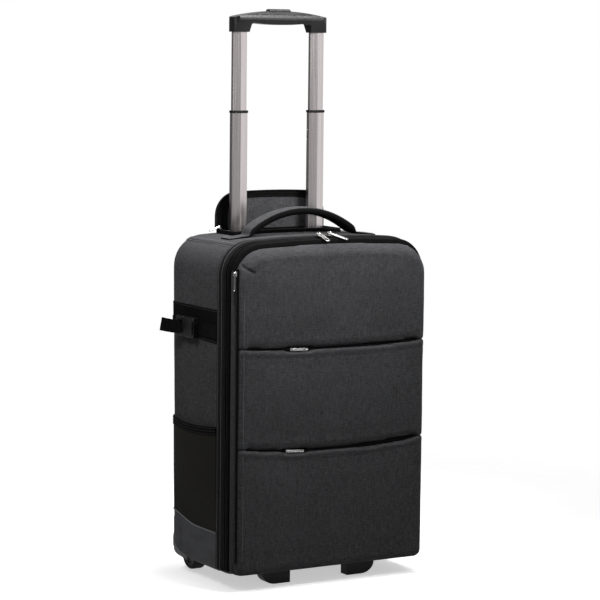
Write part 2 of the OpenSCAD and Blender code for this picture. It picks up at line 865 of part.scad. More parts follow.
module grip_cover() {
    rise = grip_top - grip_joint - 4;
    color(plastic_black) difference() {
        intersection() {
            along_y(tube_y - 40, tube_y + 40) polygon(concat(
                [[-grip_w / 2, grip_joint]],
                [[grip_w / 2, grip_joint]],
                [for (i = [0 : 20]) let (t = 1 - i / 10)
                    [t * grip_w / 2, grip_joint + 4 + rise * (1 - t * t)]]));
            along_x(-grip_w, grip_w) grip_section();
            grip_plan();
        }
        translate([-tube_x - 5, tube_y - 5.3, grip_joint - 1]) cube([tube_span + 10, 10.6, 4.6]);
        translate([-20.3, tube_y - 7.3, grip_joint - 1]) cube([40.6, 14.6, 40]);
    }
}

module release_button() {
    color(plastic_black) intersection() {
        along_y(tube_y - 7, tube_y + 7) polygon(concat([[-20, grip_joint + 3], [20, grip_joint + 3]],
            arc(17, grip_top, 3, 0, 90, 5), arc(-17, grip_top, 3, 90, 180, 5)));
        along_x(-30, 30) translate([tube_y, 0]) polygon(concat([[-7, grip_joint], [7, grip_joint]],
            arc(4, grip_top, 3, 0, 90, 5), arc(-4, grip_top, 3, 90, 180, 5)));
    }
}

module push_rods() {
    color(nickel) {
        translate([-tube_x - 4, tube_y - 5, grip_joint + 0.5]) cube([tube_span + 8, 10, 2.5]);
        at_tubes() {
            translate([0, 0, rod_z]) cylinder(r = 2.4, h = grip_joint + 1.5 - rod_z);
            translate([0, 0, plug_z + plug_h + spring_l + 0.1]) cylinder(r = 4, h = 3);
        }
    }
}

module return_springs() {
    color(nickel) at_tubes() translate([0, 0, plug_z + plug_h]) difference() {
        cylinder(r = 4, h = spring_l);
        translate([0, 0, -1]) cylinder(r = 2.8, h = spring_l + 2);
    }
}

// Wheels

module at_wheel(side) {
    translate([side * wheel_x, wheel_y, wheel_r]) rotate([0, 90, 0]) children();
}

module tyre(side) {
    color(rubber) at_wheel(side) rotate_extrude() polygon(concat(
        [[wheel_r - 7, -wheel_w / 2]],
        arc(wheel_r - 4, -wheel_w / 2 + 4, 4, -90, 0, 6),
        arc(wheel_r - 4, wheel_w / 2 - 4, 4, 0, 90, 6),
        [[wheel_r - 7, wheel_w / 2]]));
}

module hub(side) {
    color(guard_grey) at_wheel(side) difference() {
        cylinder(r = wheel_r - 7, h = wheel_w - 2, center = true);
        cylinder(r = axle_r + 4, h = wheel_w + 2, center = true);
        for (s = [-1, 1]) translate([0, 0, s * wheel_w / 2]) difference() {
            cylinder(r = wheel_r - 9.5, h = 9, center = true);
            cylinder(r = axle_r + 6, h = 12, center = true);
        }
    }
}

module bearings(side) {
    color(nickel) at_wheel(side) for (s = [-1, 1]) translate([0, 0, s * (wheel_w / 2 - 3.5)]) difference() {
        cylinder(r = axle_r + 4, h = 5, center = true);
        cylinder(r = axle_r + 0.05, h = 7, center = true);
    }
}

module left_tyre() {
    tyre(-1);
}

module left_hub() {
    hub(-1);
}

module left_bearings() {
    bearings(-1);
}

module right_tyre() {
    tyre(1);
}

module right_hub() {
    hub(1);
}

module right_bearings() {
    bearings(1);
}

// Carry handle and flap

module carry_handle() {
    color(cloth) {
        translate([0, handle_y, arch_mid]) rotate([90, 0, 0]) rotate([0, 0, 90 - arch_angle])
            rotate_extrude(angle = 2 * arch_angle) translate([arch_r, 0])
                polygon(strip_section(handle_t, handle_w));
        both_sides() translate([barrel_x, handle_y, barrel_z]) rotate([0, 90, 0])
            cylinder(r = barrel_r, h = 28);
    }
}

module flap_panel() {
    color(cloth) along_y(flap_y - flap_t / 2, flap_y + flap_t / 2) polygon(flap_outline(0));
}

module flap_zip_tape() {
    color(tape_black) along_y(flap_y - flap_t / 2 - 1.4, flap_y - flap_t / 2) difference() {
        polygon(flap_outline(0));
        polygon(concat([[flap_w / 2 - 11, flap_z - 1]], crowned_top(flap_w / 2, flap_z + flap_h, 4, 40, 11),
            [[-(flap_w / 2 - 11), flap_z - 1]]));
    }
}

// Buckles

module buckle_clip() {
    color(plastic_black) {
        difference() {
            translate([half_w + 2.9, buckle_y + 0.4, web_z - buckle_h / 2]) cube([8.2, clip_l, buckle_h]);
            for (y = [8, 17]) translate([half_w, buckle_y + y, web_z - web_w / 2 - 0.5])
                cube([20, 4, web_w + 1]);
        }
        for (z = [-buckle_h / 2 + 3.4, buckle_h / 2 - 9.4])
            translate([half_w + 3.4, buckle_y - prong_l, web_z + z]) cube([5.6, prong_l + 1, 6]);
        translate([half_w + 4.4, buckle_y - prong_l + 2, web_z - 2]) cube([3.6, prong_l - 1, 4]);
    }
}

module strap_tail() {
    mitre = tail_t * tan(tail_turn / 2);
    out = [sin(tail_turn), cos(tail_turn)];
    across = [cos(tail_turn), -sin(tail_turn)];
    color(tape_black) translate([half_w + 11.2, buckle_y + 20, web_z - web_w / 2]) linear_extrude(web_w)
        polygon([[0, -12], [tail_t, -12], [tail_t, -mitre], tail_l * out + tail_t * across,
            tail_l * out, [0, 0]]);
}

module right_buckle_clip() {
    buckle_clip();
}

module left_buckle_clip() {
    mirror([1, 0, 0]) buckle_clip();
}

module right_strap_tail() {
    strap_tail();
}

module left_strap_tail() {
    mirror([1, 0, 0]) strap_tail();
}

case_shell();
inner_board();
base_guards();
body_zip_tape();
hinge_pipings();
foot_bar();
case_screws();
wheel_housings();
wheel_axles();
trolley_tray();
outer_tubes();
trolley_bracket();
pocket_rim_tape();
handle_anchors();
strap_patches();
side_straps();
buckle_sockets();
mesh_pockets();
pocket_hems();
lid_shell();
lid_zip_tape();
upper_panel();
middle_pocket();
lower_pocket();
pocket_zip_tapes();
side_zip_tape();
left_main_slider();
right_main_slider();
left_main_pull();
right_main_pull();
upper_pocket_slider();
upper_pocket_pull();
lower_pocket_slider();
lower_pocket_pull();
side_slider();
side_pull();
flap_slider();
flap_pull();
middle_tubes();
middle_collars();
inner_tubes();
tube_plugs();
grip_base();
grip_cover();
release_button();
push_rods();
return_springs();
left_tyre();
left_hub();
left_bearings();
right_tyre();
right_hub();
right_bearings();
carry_handle();
flap_panel();
flap_zip_tape();
left_buckle_clip();
right_buckle_clip();
left_strap_tail();
right_strap_tail();
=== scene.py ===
import json
import math

import bmesh
import bpy
import numpy as np
from mathutils import Matrix, Vector, noise


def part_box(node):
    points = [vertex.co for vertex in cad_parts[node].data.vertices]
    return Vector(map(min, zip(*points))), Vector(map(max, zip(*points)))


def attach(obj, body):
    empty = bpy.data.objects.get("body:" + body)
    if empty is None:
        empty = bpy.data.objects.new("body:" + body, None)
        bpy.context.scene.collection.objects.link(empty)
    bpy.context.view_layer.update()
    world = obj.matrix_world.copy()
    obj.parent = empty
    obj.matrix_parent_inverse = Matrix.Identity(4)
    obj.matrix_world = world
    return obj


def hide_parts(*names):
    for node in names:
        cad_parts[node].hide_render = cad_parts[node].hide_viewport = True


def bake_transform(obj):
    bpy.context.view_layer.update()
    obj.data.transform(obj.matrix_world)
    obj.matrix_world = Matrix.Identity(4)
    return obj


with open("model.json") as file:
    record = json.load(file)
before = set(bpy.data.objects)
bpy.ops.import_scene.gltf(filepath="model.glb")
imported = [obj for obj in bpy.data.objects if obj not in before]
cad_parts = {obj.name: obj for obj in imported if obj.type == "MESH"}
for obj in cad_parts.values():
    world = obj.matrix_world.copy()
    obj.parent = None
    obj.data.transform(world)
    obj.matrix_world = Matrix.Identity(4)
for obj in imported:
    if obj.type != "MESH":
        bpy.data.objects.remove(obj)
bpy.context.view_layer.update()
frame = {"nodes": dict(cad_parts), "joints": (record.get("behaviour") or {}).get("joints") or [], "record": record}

# Padded body
# The tub of the case: charcoal woven polyester over foam, sewn from panels and open at the front.
# It is lined in grey, and cut out on top for the pull handle and at the rear for the wheels.
mm = 0.001
shell_low, shell_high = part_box("case_shell")
half_w = shell_high.x
parting = shell_low.y
body_back = shell_high.y
ground = shell_low.z
crown_top = shell_high.z
crown_drop = 8 * mm
crown_r = (half_w * half_w + crown_drop * crown_drop) / (2 * crown_drop)
corner_r = 52 * mm
base_r = 14 * mm
back_r = 16 * mm
back_lean = 12 * mm / (crown_top - ground)
wall = 6 * mm


def put(tree, kind, settings=None, inputs=(), **named):
    """Adds a shader node; a socket given as a value is linked, anything else is set on the socket."""
    node = tree.nodes.new("ShaderNode" + kind)
    for key, value in (settings or {}).items():
        setattr(node, key, value)
    for key, value in [*enumerate(inputs), *named.items()]:
        if isinstance(value, bpy.types.NodeSocket):
            tree.links.new(value, node.inputs[key])
        else:
            node.inputs[key].default_value = value
    return node


def new_material(name, roughness, specular):
    """Plain finish, with its node tree, its shader and the place on the piece that patterns start from."""
    material = bpy.data.materials.new(name)
    material.use_nodes = True
    tree = material.node_tree
    shader = tree.nodes["Principled BSDF"]
    shader.inputs["Roughness"].default_value = roughness
    shader.inputs["Specular IOR Level"].default_value = specular
    return material, tree, shader, put(tree, "TexCoord").outputs["Object"]


def maths(tree, operation, *values):
    """One step of arithmetic between sockets or plain numbers."""
    return put(tree, "Math", {"operation": operation}, values).outputs[0]


def ramp(tree, value, low, high, start, end):
    """Value that runs from start to end while another runs from low to high."""
    return put(tree, "MapRange", inputs=(value, low, high, start, end)).outputs[0]


def speckle(tree, place, scale, detail=2.0):
    """Even noise."""
    return put(tree, "TexNoise", Vector=place, Scale=scale, Detail=detail).outputs["Fac"]


def streak(tree, place, stretch, detail=2.0):
    """Noise whose grains are drawn out along the axes with a low stretch."""
    return speckle(tree, put(tree, "Mapping", Vector=place, Scale=stretch).outputs[0], 1.0, detail)


def tint(tree, shader, amount, dark, light, low, high):
    """Base colour between two tones, driven by a value that runs from low to high."""
    share = ramp(tree, amount, low, high, 0.0, 1.0)
    mix = put(tree, "Mix", {"data_type": "RGBA"})
    tree.links.new(share, mix.inputs["Factor"])
    mix.inputs[6].default_value = (*dark, 1)
    mix.inputs[7].default_value = (*light, 1)
    tree.links.new(mix.outputs[2], shader.inputs["Base Color"])


def dent(tree, shader, height, strength, depth):
    """Fine relief that is too small for the mesh."""
    bump = put(tree, "Bump", Height=height, Strength=strength, Distance=depth)
    tree.links.new(bump.outputs[0], shader.inputs["Normal"])


def woven(name, dark, light, pitch=0.9 * mm, rough=0.95, fuzz=0.03):
    """Plain-woven heather cloth: streaky yarns both ways, a fine over-and-under weave and a soft nap."""
    material, tree, shader, place = new_material(name, rough, 0.06)
    weft = streak(tree, place, (110, 110, 900), 3.0)
    warp = streak(tree, place, (900, 900, 90), 3.0)
    patch = streak(tree, place, (16, 16, 16))
    yarns = maths(tree, "ADD", weft, warp)
    tone = maths(tree, "MULTIPLY_ADD", patch, 0.2, yarns)
    tint(tree, shader, tone, dark, light, 0.78, 1.42)
    weave = put(tree, "TexChecker", Vector=place, Scale=1 / pitch).outputs["Fac"]
    relief = maths(tree, "MULTIPLY_ADD", weave, 0.5, yarns)
    dent(tree, shader, relief, 0.45, 0.25 * mm)
    shader.inputs["Sheen Weight"].default_value = fuzz
    shader.inputs["Sheen Roughness"].default_value = 0.45
    return material


charcoal = woven("charcoal_cloth", (0.018, 0.018, 0.019), (0.050, 0.0503, 0.053))
lining = woven("grey_lining", (0.075, 0.076, 0.08), (0.12, 0.121, 0.126), pitch=0.7 * mm, rough=0.75)


def add_piece(name, points, faces, *materials, sharp=40):
    """New mesh with its faces turned outward, smooth except where it bends sharply."""
    mesh = bpy.data.meshes.new(name)
    mesh.from_pydata([tuple(p) for p in points], [], faces)
    work = bmesh.new()
    work.from_mesh(mesh)
    bmesh.ops.recalc_face_normals(work, faces=work.faces)
    work.to_mesh(mesh)
    work.free()
    mesh.shade_smooth()
    mesh.set_sharp_from_angle(angle=math.radians(sharp))
    for material in materials:
        mesh.materials.append(material)
    piece = bpy.data.objects.new(name, mesh)
    bpy.context.scene.collection.objects.link(piece)
    return piece


def loft(rings):
    """Solid through closed rings of points, capped at both ends."""
    count = len(rings[0])
    last = (len(rings) - 1) * count
    faces = [tuple(range(count)), tuple(last + k for k in range(count))]
    for start in range(0, last, count):
        for k in range(count):
            after = (k + 1) % count
            faces.append((start + k, start + after, start + count + after, start + count + k))
    return [point for ring in rings for point in ring], faces


def settle(piece):
    """Turns what the modifiers make into the piece's own mesh."""
    evaluated = piece.evaluated_get(bpy.context.evaluated_depsgraph_get())
    mesh = bpy.data.meshes.new_from_object(evaluated)
    piece.modifiers.clear()
    piece.data = mesh


def soft_copy(name, node, voxel):
    """Soft skin over the space of a solid: an even net of small faces that can be shaped."""
    mesh = frame["nodes"][node].data.copy()
    work = bmesh.new()
    work.from_mesh(mesh)
    bmesh.ops.remove_doubles(work, verts=work.verts, dist=0.01 * mm)
    work.to_mesh(mesh)
    work.free()
    mesh.materials.clear()
    piece = bpy.data.objects.new(name, mesh)
    bpy.context.scene.collection.objects.link(piece)
    net = piece.modifiers.new("Net", "REMESH")
    net.mode = "VOXEL"
    net.voxel_size = voxel
    settle(piece)
    piece.data.shade_smooth()
    return piece


def fix(piece, body_name, node=None):
    """Says which body carries a piece, and hides the node of the frame that it stands for."""
    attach(piece, body_name)
    if node:
        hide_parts(node)


def get_points(piece, field="co"):
    """Places of all points as rows, or another field of three values."""
    flat = np.empty(len(piece.data.vertices) * 3)
    piece.data.vertices.foreach_get(field, flat)
    return flat.reshape(-1, 3)


def set_points(piece, points):
    """Moves all points to the places given as rows."""
    piece.data.vertices.foreach_set("co", points.ravel())
    piece.data.update()


def relax(piece, rounds, share=0.5):
    """Draws each point towards its neighbours, as foam rounds off a corner."""
    points = get_points(piece)
    ends = np.empty(len(piece.data.edges) * 2, int)
    piece.data.edges.foreach_get("vertices", ends)
    ends = ends.reshape(-1, 2)
    count = np.bincount(ends.ravel(), minlength=len(points))[:, None]
    for _ in range(rounds):
        total = np.zeros_like(points)
        np.add.at(total, ends[:, 0], points[ends[:, 1]])
        np.add.at(total, ends[:, 1], points[ends[:, 0]])
        points += share * (total / count - points)
    set_points(piece, points)


def ripple(points, size, seed):
    """Slow wave in the cloth, from -1 to 1, with humps of about the given size."""
    shift = Vector((seed * 3.1, seed * 7.7, seed * 1.3))
    return np.array([noise.noise(Vector(p) / size + shift) for p in points])


def ease(value, low, high):
    """From 0 to 1 with soft ends while a value runs from low to high."""
    share = np.clip((value - low) / (high - low), 0, 1)
    return share * share * (3 - 2 * share)


def arc(cx, cz, radius, start, end, count):
    """Points of a round from one angle in degrees to another."""
    angles = [math.radians(start + (end - start) * i / count) for i in range(count + 1)]
    return [(cx + radius * math.cos(a), cz + radius * math.sin(a)) for a in angles]


def crowned_top(half, top, drop, corner, inset):
    """Right corner, crowned top and left corner of an outline that is set in by an amount."""
    big = (half * half + drop * drop) / (2 * drop) - inset
    middle = top - inset - big
    side = half - inset
    small = corner - inset
    rise = math.sqrt((big - small) ** 2 - (side - small) ** 2)
    turn = math.degrees(math.atan2(rise, side - small))
    return (arc(side - small, middle + rise, small, 0, turn, 14)
            + arc(0, middle, big, turn, 180 - turn, 36)[1:-1]
            + arc(small - side, middle + rise, small, 180 - turn, 180, 14))


def crown_z(x):
    """Height of the crowned top."""
    return crown_top - crown_r + math.sqrt(crown_r ** 2 - x * x)


def back_plane(z):
    """Place along Y of the leaning back."""
    return body_back + back_lean * (z - crown_top)


corner_x = half_w - corner_r
corner_z = crowned_top(half_w, crown_top, crown_drop, corner_r, 0)[0][1]


def depth_in_body(points):
    """How deep points lie under the outside of the body."""
    x, y, z = np.abs(points[:, 0]), points[:, 1], points[:, 2]
    depth = np.minimum(half_w - x, z - ground)
    depth = np.minimum(depth, np.array([crown_z(v) for v in x]) - z)
    round_off = corner_r - np.hypot(x - corner_x, z - corner_z)
    depth = np.where((x > corner_x) & (z > corner_z), round_off, depth)
    return np.minimum(depth, back_plane(z) - y)


# Only the outside is rippled, away from the zip and below the edge of the top.
slow_wave = 0.9 * mm
fine_wave = 0.35 * mm
tuck = 0.5 * mm
body = soft_copy("body_cloth", "case_shell", 3 * mm)
relax(body, 4)
skin = get_points(body)
outward = get_points(body, "normal")
outside = 1 - ease(depth_in_body(skin), 1.5 * mm, 3.5 * mm)
away = ease(skin[:, 1], parting + 18 * mm, parting + 45 * mm)
away = away * (1 - ease(skin[:, 2], crown_top - 14 * mm, crown_top - 9 * mm))
wave = slow_wave * ripple(skin, 150 * mm, 1) + fine_wave * ripple(skin, 45 * mm, 2) - tuck
set_points(body, skin + outward * (outside * away * wave)[:, None])
body.data.materials.append(charcoal)
body.data.materials.append(lining)
centres = np.array([face.center for face in body.data.polygons])
inside = (depth_in_body(centres) > wall / 2) & (centres[:, 1] > parting + 1 * mm)
body.data.polygons.foreach_set("material_index", inside.astype(int))
fix(body, "case", "case_shell")

# Shoulder and back seams
# Felled seams where the top panel is sewn to the side and back panels, each with two rows of topstitching.
# The stitches are pale polyester thread, about seven to the inch.
seam_turn = math.radians(63)
seam_front = parting + 27 * mm
seam_w = 6 * mm
seam_h = 0.7 * mm
row_shift = 4.6 * mm
stitch_pitch = 3.6 * mm


def thread_material(name, dark, light):
    """Twisted thread with its plies."""
    material, tree, shader, place = new_material(name, 0.7, 0.2)
    ply = speckle(tree, place, 1800.0, 1.0)
    tint(tree, shader, ply, dark, light, 0.3, 0.7)
    dent(tree, shader, ply, 0.5, 0.1 * mm)
    return material


pale_thread = thread_material("grey_thread", (0.09, 0.09, 0.093), (0.16, 0.16, 0.165))
faint_thread = thread_material("faint_thread", (0.075, 0.075, 0.077), (0.13, 0.13, 0.134))
dark_thread = thread_material("black_thread", (0.02, 0.02, 0.021), (0.05, 0.05, 0.052))


def grain(length, radius):
    """Small six-sided spindle along its first axis: one stitch, or one tooth of a coil zip."""
    points = [(-length / 2, 0, 0), (length / 2, 0, 0)]
    for along in (-0.3, 0.3):
        for k in range(6):
            turn = math.radians(60 * k)
            points.append((along * length, radius * math.cos(turn), radius * math.sin(turn)))
    faces = []
    for k in range(6):
        after = (k + 1) % 6
        faces.append((0, 2 + after, 2 + k))
        faces.append((2 + k, 2 + after, 8 + after, 8 + k))
        faces.append((1, 8 + k, 8 + after))
    return points, faces


def walk(route, pitch):
    """Evenly spaced places along a route, each with its direction."""
    route = [Vector(p) for p in route]
    ahead = pitch / 2
    for start, end in zip(route, route[1:]):
        span = (end - start).length
        if span < 1e-9:
            continue
        way = (end - start) / span
        while ahead <= span:
            yield start + way * ahead, way
            ahead += pitch
        ahead -= span


def joined(parts):
    """One mesh from several, each given as points and faces."""
    points = []
    faces = []
    for more, more_faces in parts:
        first = len(points)
        points += more
        faces += [tuple(first + i for i in face) for face in more_faces]
    return points, faces


def scatter(name, template, stations, material, body_name):
    """Copies of a small shape at stations given as place, direction and outward direction."""
    shape, shape_faces = template
    copies = []
    for place, way, out in stations:
        across = out.cross(way).normalized()
        copies.append(([place + way * a + across * b + out * c for a, b, c in shape], shape_faces))
    fix(add_piece(name, *joined(copies), material, sharp=80), body_name)


def sweep(route, outs, section):
    """Solid along a route: the section is given as across and out, and outs says where out points."""
    route = [Vector(p) for p in route]
    last = len(route) - 1
    rings = []
    for i, place in enumerate(route):
        way = (route[min(i + 1, last)] - route[max(i - 1, 0)]).normalized()
        out = Vector(outs[i])
        out = (out - way * out.dot(way)).normalized()
        across = out.cross(way)
        ring = section(i / last) if callable(section) else section
        rings.append([place + across * a + out * b for a, b in ring])
    return loft(rings)


def strip(route, out, section):
    """Sweep whose outward direction stays the same."""
    return sweep(route, [out] * len(route), section)


def both_halves(left):
    """Whole section from its left half."""
    return left + [(-across, out) for across, out in reversed(left)]


def flat_section(width, height, sink=0.4 * mm):
    """Low strip with rounded shoulders that is let into what it lies on."""
    half = width / 2
    return both_halves([(-half, -sink), (-half, 0.5 * height), (0.6 * height - half, height)])


def spread(start, end, count):
    """Evenly spaced values from start to end."""
    return [start + (end - start) * i / count for i in range(count + 1)]


def shoulder_route(side, shift):
    """Along the upper corner from the zip to the back, then over the rear rounding."""
    route = []
    outs = []
    turn = seam_turn + shift / corner_r
    rear = back_plane(corner_z) - back_r
    steps = [(y, 0.0) for y in spread(seam_front, rear, 12)[:-1]]
    steps += [(rear + back_r * math.sin(math.radians(a)), math.radians(a)) for a in range(0, 86, 10)]
    for y, a in steps:
        reach = corner_r - back_r * (1 - math.cos(a))
        route.append((side * (corner_x + reach * math.cos(turn)), y, corner_z + reach * math.sin(turn)))
        outs.append((side * math.cos(turn) * math.cos(a), math.sin(a), math.sin(turn) * math.cos(a)))
    return route, outs


seam_strips = []
seam_stitches = []
for side in (-1, 1):
    seam_strips.append(sweep(*shoulder_route(side, 0), flat_section(seam_w, seam_h)))
    for shift in (-row_shift, row_shift):
        route, outs = shoulder_route(side, shift)
        for place, way in walk(route, stitch_pitch):
            near = min(range(len(route)), key=lambda i: (Vector(route[i]) - place).length)
            seam_stitches.append((place + Vector(outs[near]) * 0.15 * mm, way, Vector(outs[near])))
seams = add_piece("shoulder_seams", *joined(seam_strips), charcoal)
fix(seams, "case")
scatter("shoulder_stitches", grain(2.8 * mm, 0.5 * mm), seam_stitches, pale_thread, "case")

# Lower side guards
# Coated smooth panels sewn on under the mesh pockets and round the rear corners, with a corded upper edge.
# They keep kerbs and escalator steps off the woven cloth.
guard_front = seam_front
guard_low = ground + 2 * mm
guard_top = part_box("mesh_pockets")[0].z - 2 * mm
guard_rise = 16 * mm
guard_t = 1.6 * mm
guard_lift = 1.0 * mm
shoe_r = 62 * mm
shoe_low = ground + 4 * mm
shoe_end = 190 * mm
shoe_lift = 2.0 * mm


def coated(name, dark, light):
    """Smooth coated cloth with a fine pebble."""
    material, tree, shader, place = new_material(name, 0.7, 0.12)
    pebble = put(tree, "TexVoronoi", Vector=place, Scale=700.0).outputs["Distance"]
    cloud = streak(tree, place, (30, 30, 60))
    tint(tree, shader, cloud, dark, light, 0.3, 0.7)
    dent(tree, shader, pebble, 0.35, 0.15 * mm)
    return material


guard_grey = coated("guard_coating", (0.033, 0.0334, 0.0355), (0.051, 0.0518, 0.055))
trim_grey = coated("corner_trim", (0.10, 0.101, 0.105), (0.16, 0.161, 0.166))
corner_black = coated("corner_black", (0.006, 0.006, 0.0065), (0.012, 0.012, 0.0125))


def body_skin(side, run, z, lift):
    """Place on the side of the body, a run behind the parting plane, wrapping round the rear edge."""
    sink = max(0.0, ground + base_r - z)
    x_side = half_w - base_r + math.sqrt(max(base_r ** 2 - sink ** 2, 0.0))
    straight = back_plane(z) - back_r - parting
    turn = min(max((run - straight) / back_r, 0.0), math.pi / 2)
    beyond = max(run - straight - back_r * math.pi / 2, 0.0)
    out = Vector((side * math.cos(turn), math.sin(turn), 0.0))
    x = x_side - back_r + back_r * math.cos(turn) - beyond
    y = parting + min(run, straight) + back_r * math.sin(turn)
    return Vector((side * x, y, z)) + out * lift, out


def guard_edge(run):
    """Height of the upper edge of a guard: level in front, rising to the rear."""
    return guard_top + guard_rise * float(ease(run, 90 * mm, 190 * mm))


def skin_sheet(side, runs, low, high, rows, lift, thick):
    """Closed thin panel on the side of the body between two edges, with a lift that may change."""
    points = []
    for layer in (0.0, -thick):
        for run in runs:
            for j in range(rows + 1):
                z = low(run) + (high(run) - low(run)) * j / rows
                off = lift(run, z, j / rows) if callable(lift) else lift
                points.append(body_skin(side, run, z, off + layer)[0])
    wide = rows + 1
    size = len(runs) * wide
    faces = []
    for i in range(len(runs) - 1):
        for j in range(rows):
            corner = i * wide + j
            faces.append((corner, corner + wide, corner + wide + 1, corner + 1))
            faces.append((size + corner + 1, size + corner + wide + 1, size + corner + wide, size + corner))
    rim = [i * wide for i in range(len(runs))]
    rim += [(len(runs) - 1) * wide + j for j in range(1, wide)]
    rim += [i * wide + rows for i in range(len(runs) - 2, -1, -1)]
    rim += [j for j in range(rows - 1, 0, -1)]
    for a, b in zip(rim, rim[1:] + rim[:1]):
        faces.append((a, b, size + b, size + a))
    return points, faces


def skin_strip(side, runs, height, lift, section):
    """Strip along the side of the body, at a height that may change on the way."""
    route, outs = zip(*[body_skin(side, run, height(run), lift) for run in runs])
    return sweep(route, outs, section)


def round_section(radius, sides):
    """Section of a cord."""
    turns = [2 * math.pi * k / sides for k in range(sides)]
    return [(radius * math.cos(turn), radius * math.sin(turn)) for turn in turns]


def join_sides(build):
    """One mesh from a builder that is called for the left and for the right."""
    return joined(build(side) for side in (-1, 1))


guard_runs = spread(guard_front - parting, 232 * mm, 60)
guards = add_piece("side_guards", *join_sides(lambda side: skin_sheet(
    side, guard_runs, lambda run: guard_low, guard_edge, 14, guard_lift, guard_t)), guard_grey)
fix(guards, "case", "base_guards")
cords = add_piece("guard_cords", *join_sides(lambda side: skin_strip(
    side, guard_runs, guard_edge, guard_lift, round_section(1.5 * mm, 8))), trim_grey)
fix(cords, "case")


def shoe_edge(run):
    """Height of the edge of a corner shoe: nearly a quarter round that starts low and rises to the rear."""
    share = min(max((run - shoe_end) / shoe_r + 1, 0.0), 1.0)
    return shoe_low + shoe_r * (1 - math.sqrt(1 - share * share * 0.985))


def shoe_top(run):
    """Upper edge of a shoe's sheet, which never falls below its foot."""
    return max(shoe_edge(run), guard_low + 0.5 * mm)


shoe_runs = spread(130 * mm, 212 * mm, 40)
shoes = add_piece("corner_shoes", *join_sides(lambda side: skin_sheet(
    side, shoe_runs, lambda run: guard_low, shoe_top, 6, shoe_lift, guard_t)), corner_black)
fix(shoes, "case")
trim_section = flat_section(7 * mm, 1.3 * mm, 1.5 * mm)
trims = add_piece("corner_trims", *join_sides(lambda side: skin_strip(
    side, shoe_runs, shoe_edge, shoe_lift - 0.1 * mm, trim_section)), trim_grey)
fix(trims, "case")

# Moulded base parts
# Injection-moulded foot bar, wheel housings, trolley bracket and recess tray, all in black satin plastic.
# Moulding edges are slightly rounded; steel screws, pins and the grey board inside keep their plain finish.


def moulded(name, dark, light, rough=0.5, specular=0.22):
    """Moulded plastic with a fine spark finish, a little worn."""
    material, tree, shader, place = new_material(name, rough, specular)
    spark = speckle(tree, place, 900.0, 3.0)
    wear = speckle(tree, place, 28.0, 4.0)
    tint(tree, shader, wear, dark, light, 0.35, 0.7)
    dent(tree, shader, spark, 0.12, 0.1 * mm)
    gloss = ramp(tree, wear, 0.3, 0.7, rough - 0.07, rough + 0.08)
    tree.links.new(gloss, shader.inputs["Roughness"])
    return material


def metal(name, dark, light, rough, grain_stretch):
    """Bare or plated metal with fine drawn lines."""
    material, tree, shader, place = new_material(name, rough, 0.5)
    shader.inputs["Metallic"].default_value = 1.0
    lines = streak(tree, place, grain_stretch, 3.0)
    tint(tree, shader, lines, dark, light, 0.3, 0.7)
    gloss = ramp(tree, lines, 0.3, 0.7, rough - 0.05, rough + 0.06)
    tree.links.new(gloss, shader.inputs["Roughness"])
    dent(tree, shader, lines, 0.05, 0.05 * mm)
    return material


black_plastic = moulded("black_plastic", (0.004, 0.004, 0.0042), (0.010, 0.010, 0.0105), specular=0.12)
hub_grey = moulded("hub_plastic", (0.05, 0.05, 0.053), (0.085, 0.085, 0.09))
board_grey = moulded("liner_board", (0.05, 0.05, 0.052), (0.075, 0.075, 0.077), rough=0.8, specular=0.15)
steel = metal("plain_steel", (0.42, 0.42, 0.43), (0.58, 0.58, 0.59), 0.32, (300, 300, 40))


def dress(node, material, edge=0.6 * mm, bend=40):
    """Gives a rigid part its finish and breaks the edges where it bends by more than an angle."""
    part = frame["nodes"][node]
    part.data.materials.clear()
    part.data.materials.append(material)
    part.data.shade_smooth()
    weld = part.modifiers.new("Weld", "WELD")
    weld.merge_threshold = 0.005 * mm
    if edge:
        bevel = part.modifiers.new("Edges", "BEVEL")
        bevel.width = edge
        bevel.segments = 2
        bevel.limit_method = "ANGLE"
        bevel.angle_limit = math.radians(bend)
    part.modifiers.new("Shading", "WEIGHTED_NORMAL").keep_sharp = False
    return part


for node in ("foot_bar", "trolley_bracket", "trolley_tray"):
    dress(node, black_plastic, 1.0 * mm)
for node in ("case_screws", "wheel_axles"):
    dress(node, steel, 0.3 * mm)
dress("inner_board", board_grey, 0.1 * mm)

housings = dress("wheel_housings", black_plastic, 0)
housings.data.materials.append(guard_grey)
for face in housings.data.polygons:
    wrapped = depth_in_body(np.array([face.center]))[0] < -0.2 * mm
    face.material_index = int(wrapped)

# Wheels
# Two spoked inline wheels: soft black tyres moulded over grey nylon hubs, on sealed steel bearings.
# The tyres are dusty from use, in light and dark speckles all over.
wheel_rubber, rubber_tree, rubber_shader, rubber_place = new_material("tyre_rubber", 0.85, 0.25)
dust = speckle(rubber_tree, rubber_place, 60.0, 6.0)
tint(rubber_tree, rubber_shader, dust, (0.010, 0.010, 0.010), (0.030, 0.029, 0.028), 0.35, 0.75)
dent(rubber_tree, rubber_shader, dust, 0.3, 0.2 * mm)
for side in ("left", "right"):
    dress(side + "_tyre", wheel_rubber, 0)
    dress(side + "_hub", hub_grey, 0.5 * mm)
    dress(side + "_bearings", steel, 0.2 * mm)

# Main zip, body half
# Black coil zip sewn into the rim of the body under a felled binding, up one side, over the top and down.
# The binding is dark cloth with two rows of pale stitches; the coil is black nylon.
zip_low = ground + 8 * mm
zip_middle = zip_low + 300 * mm
tooth_pitch = 1.9 * mm


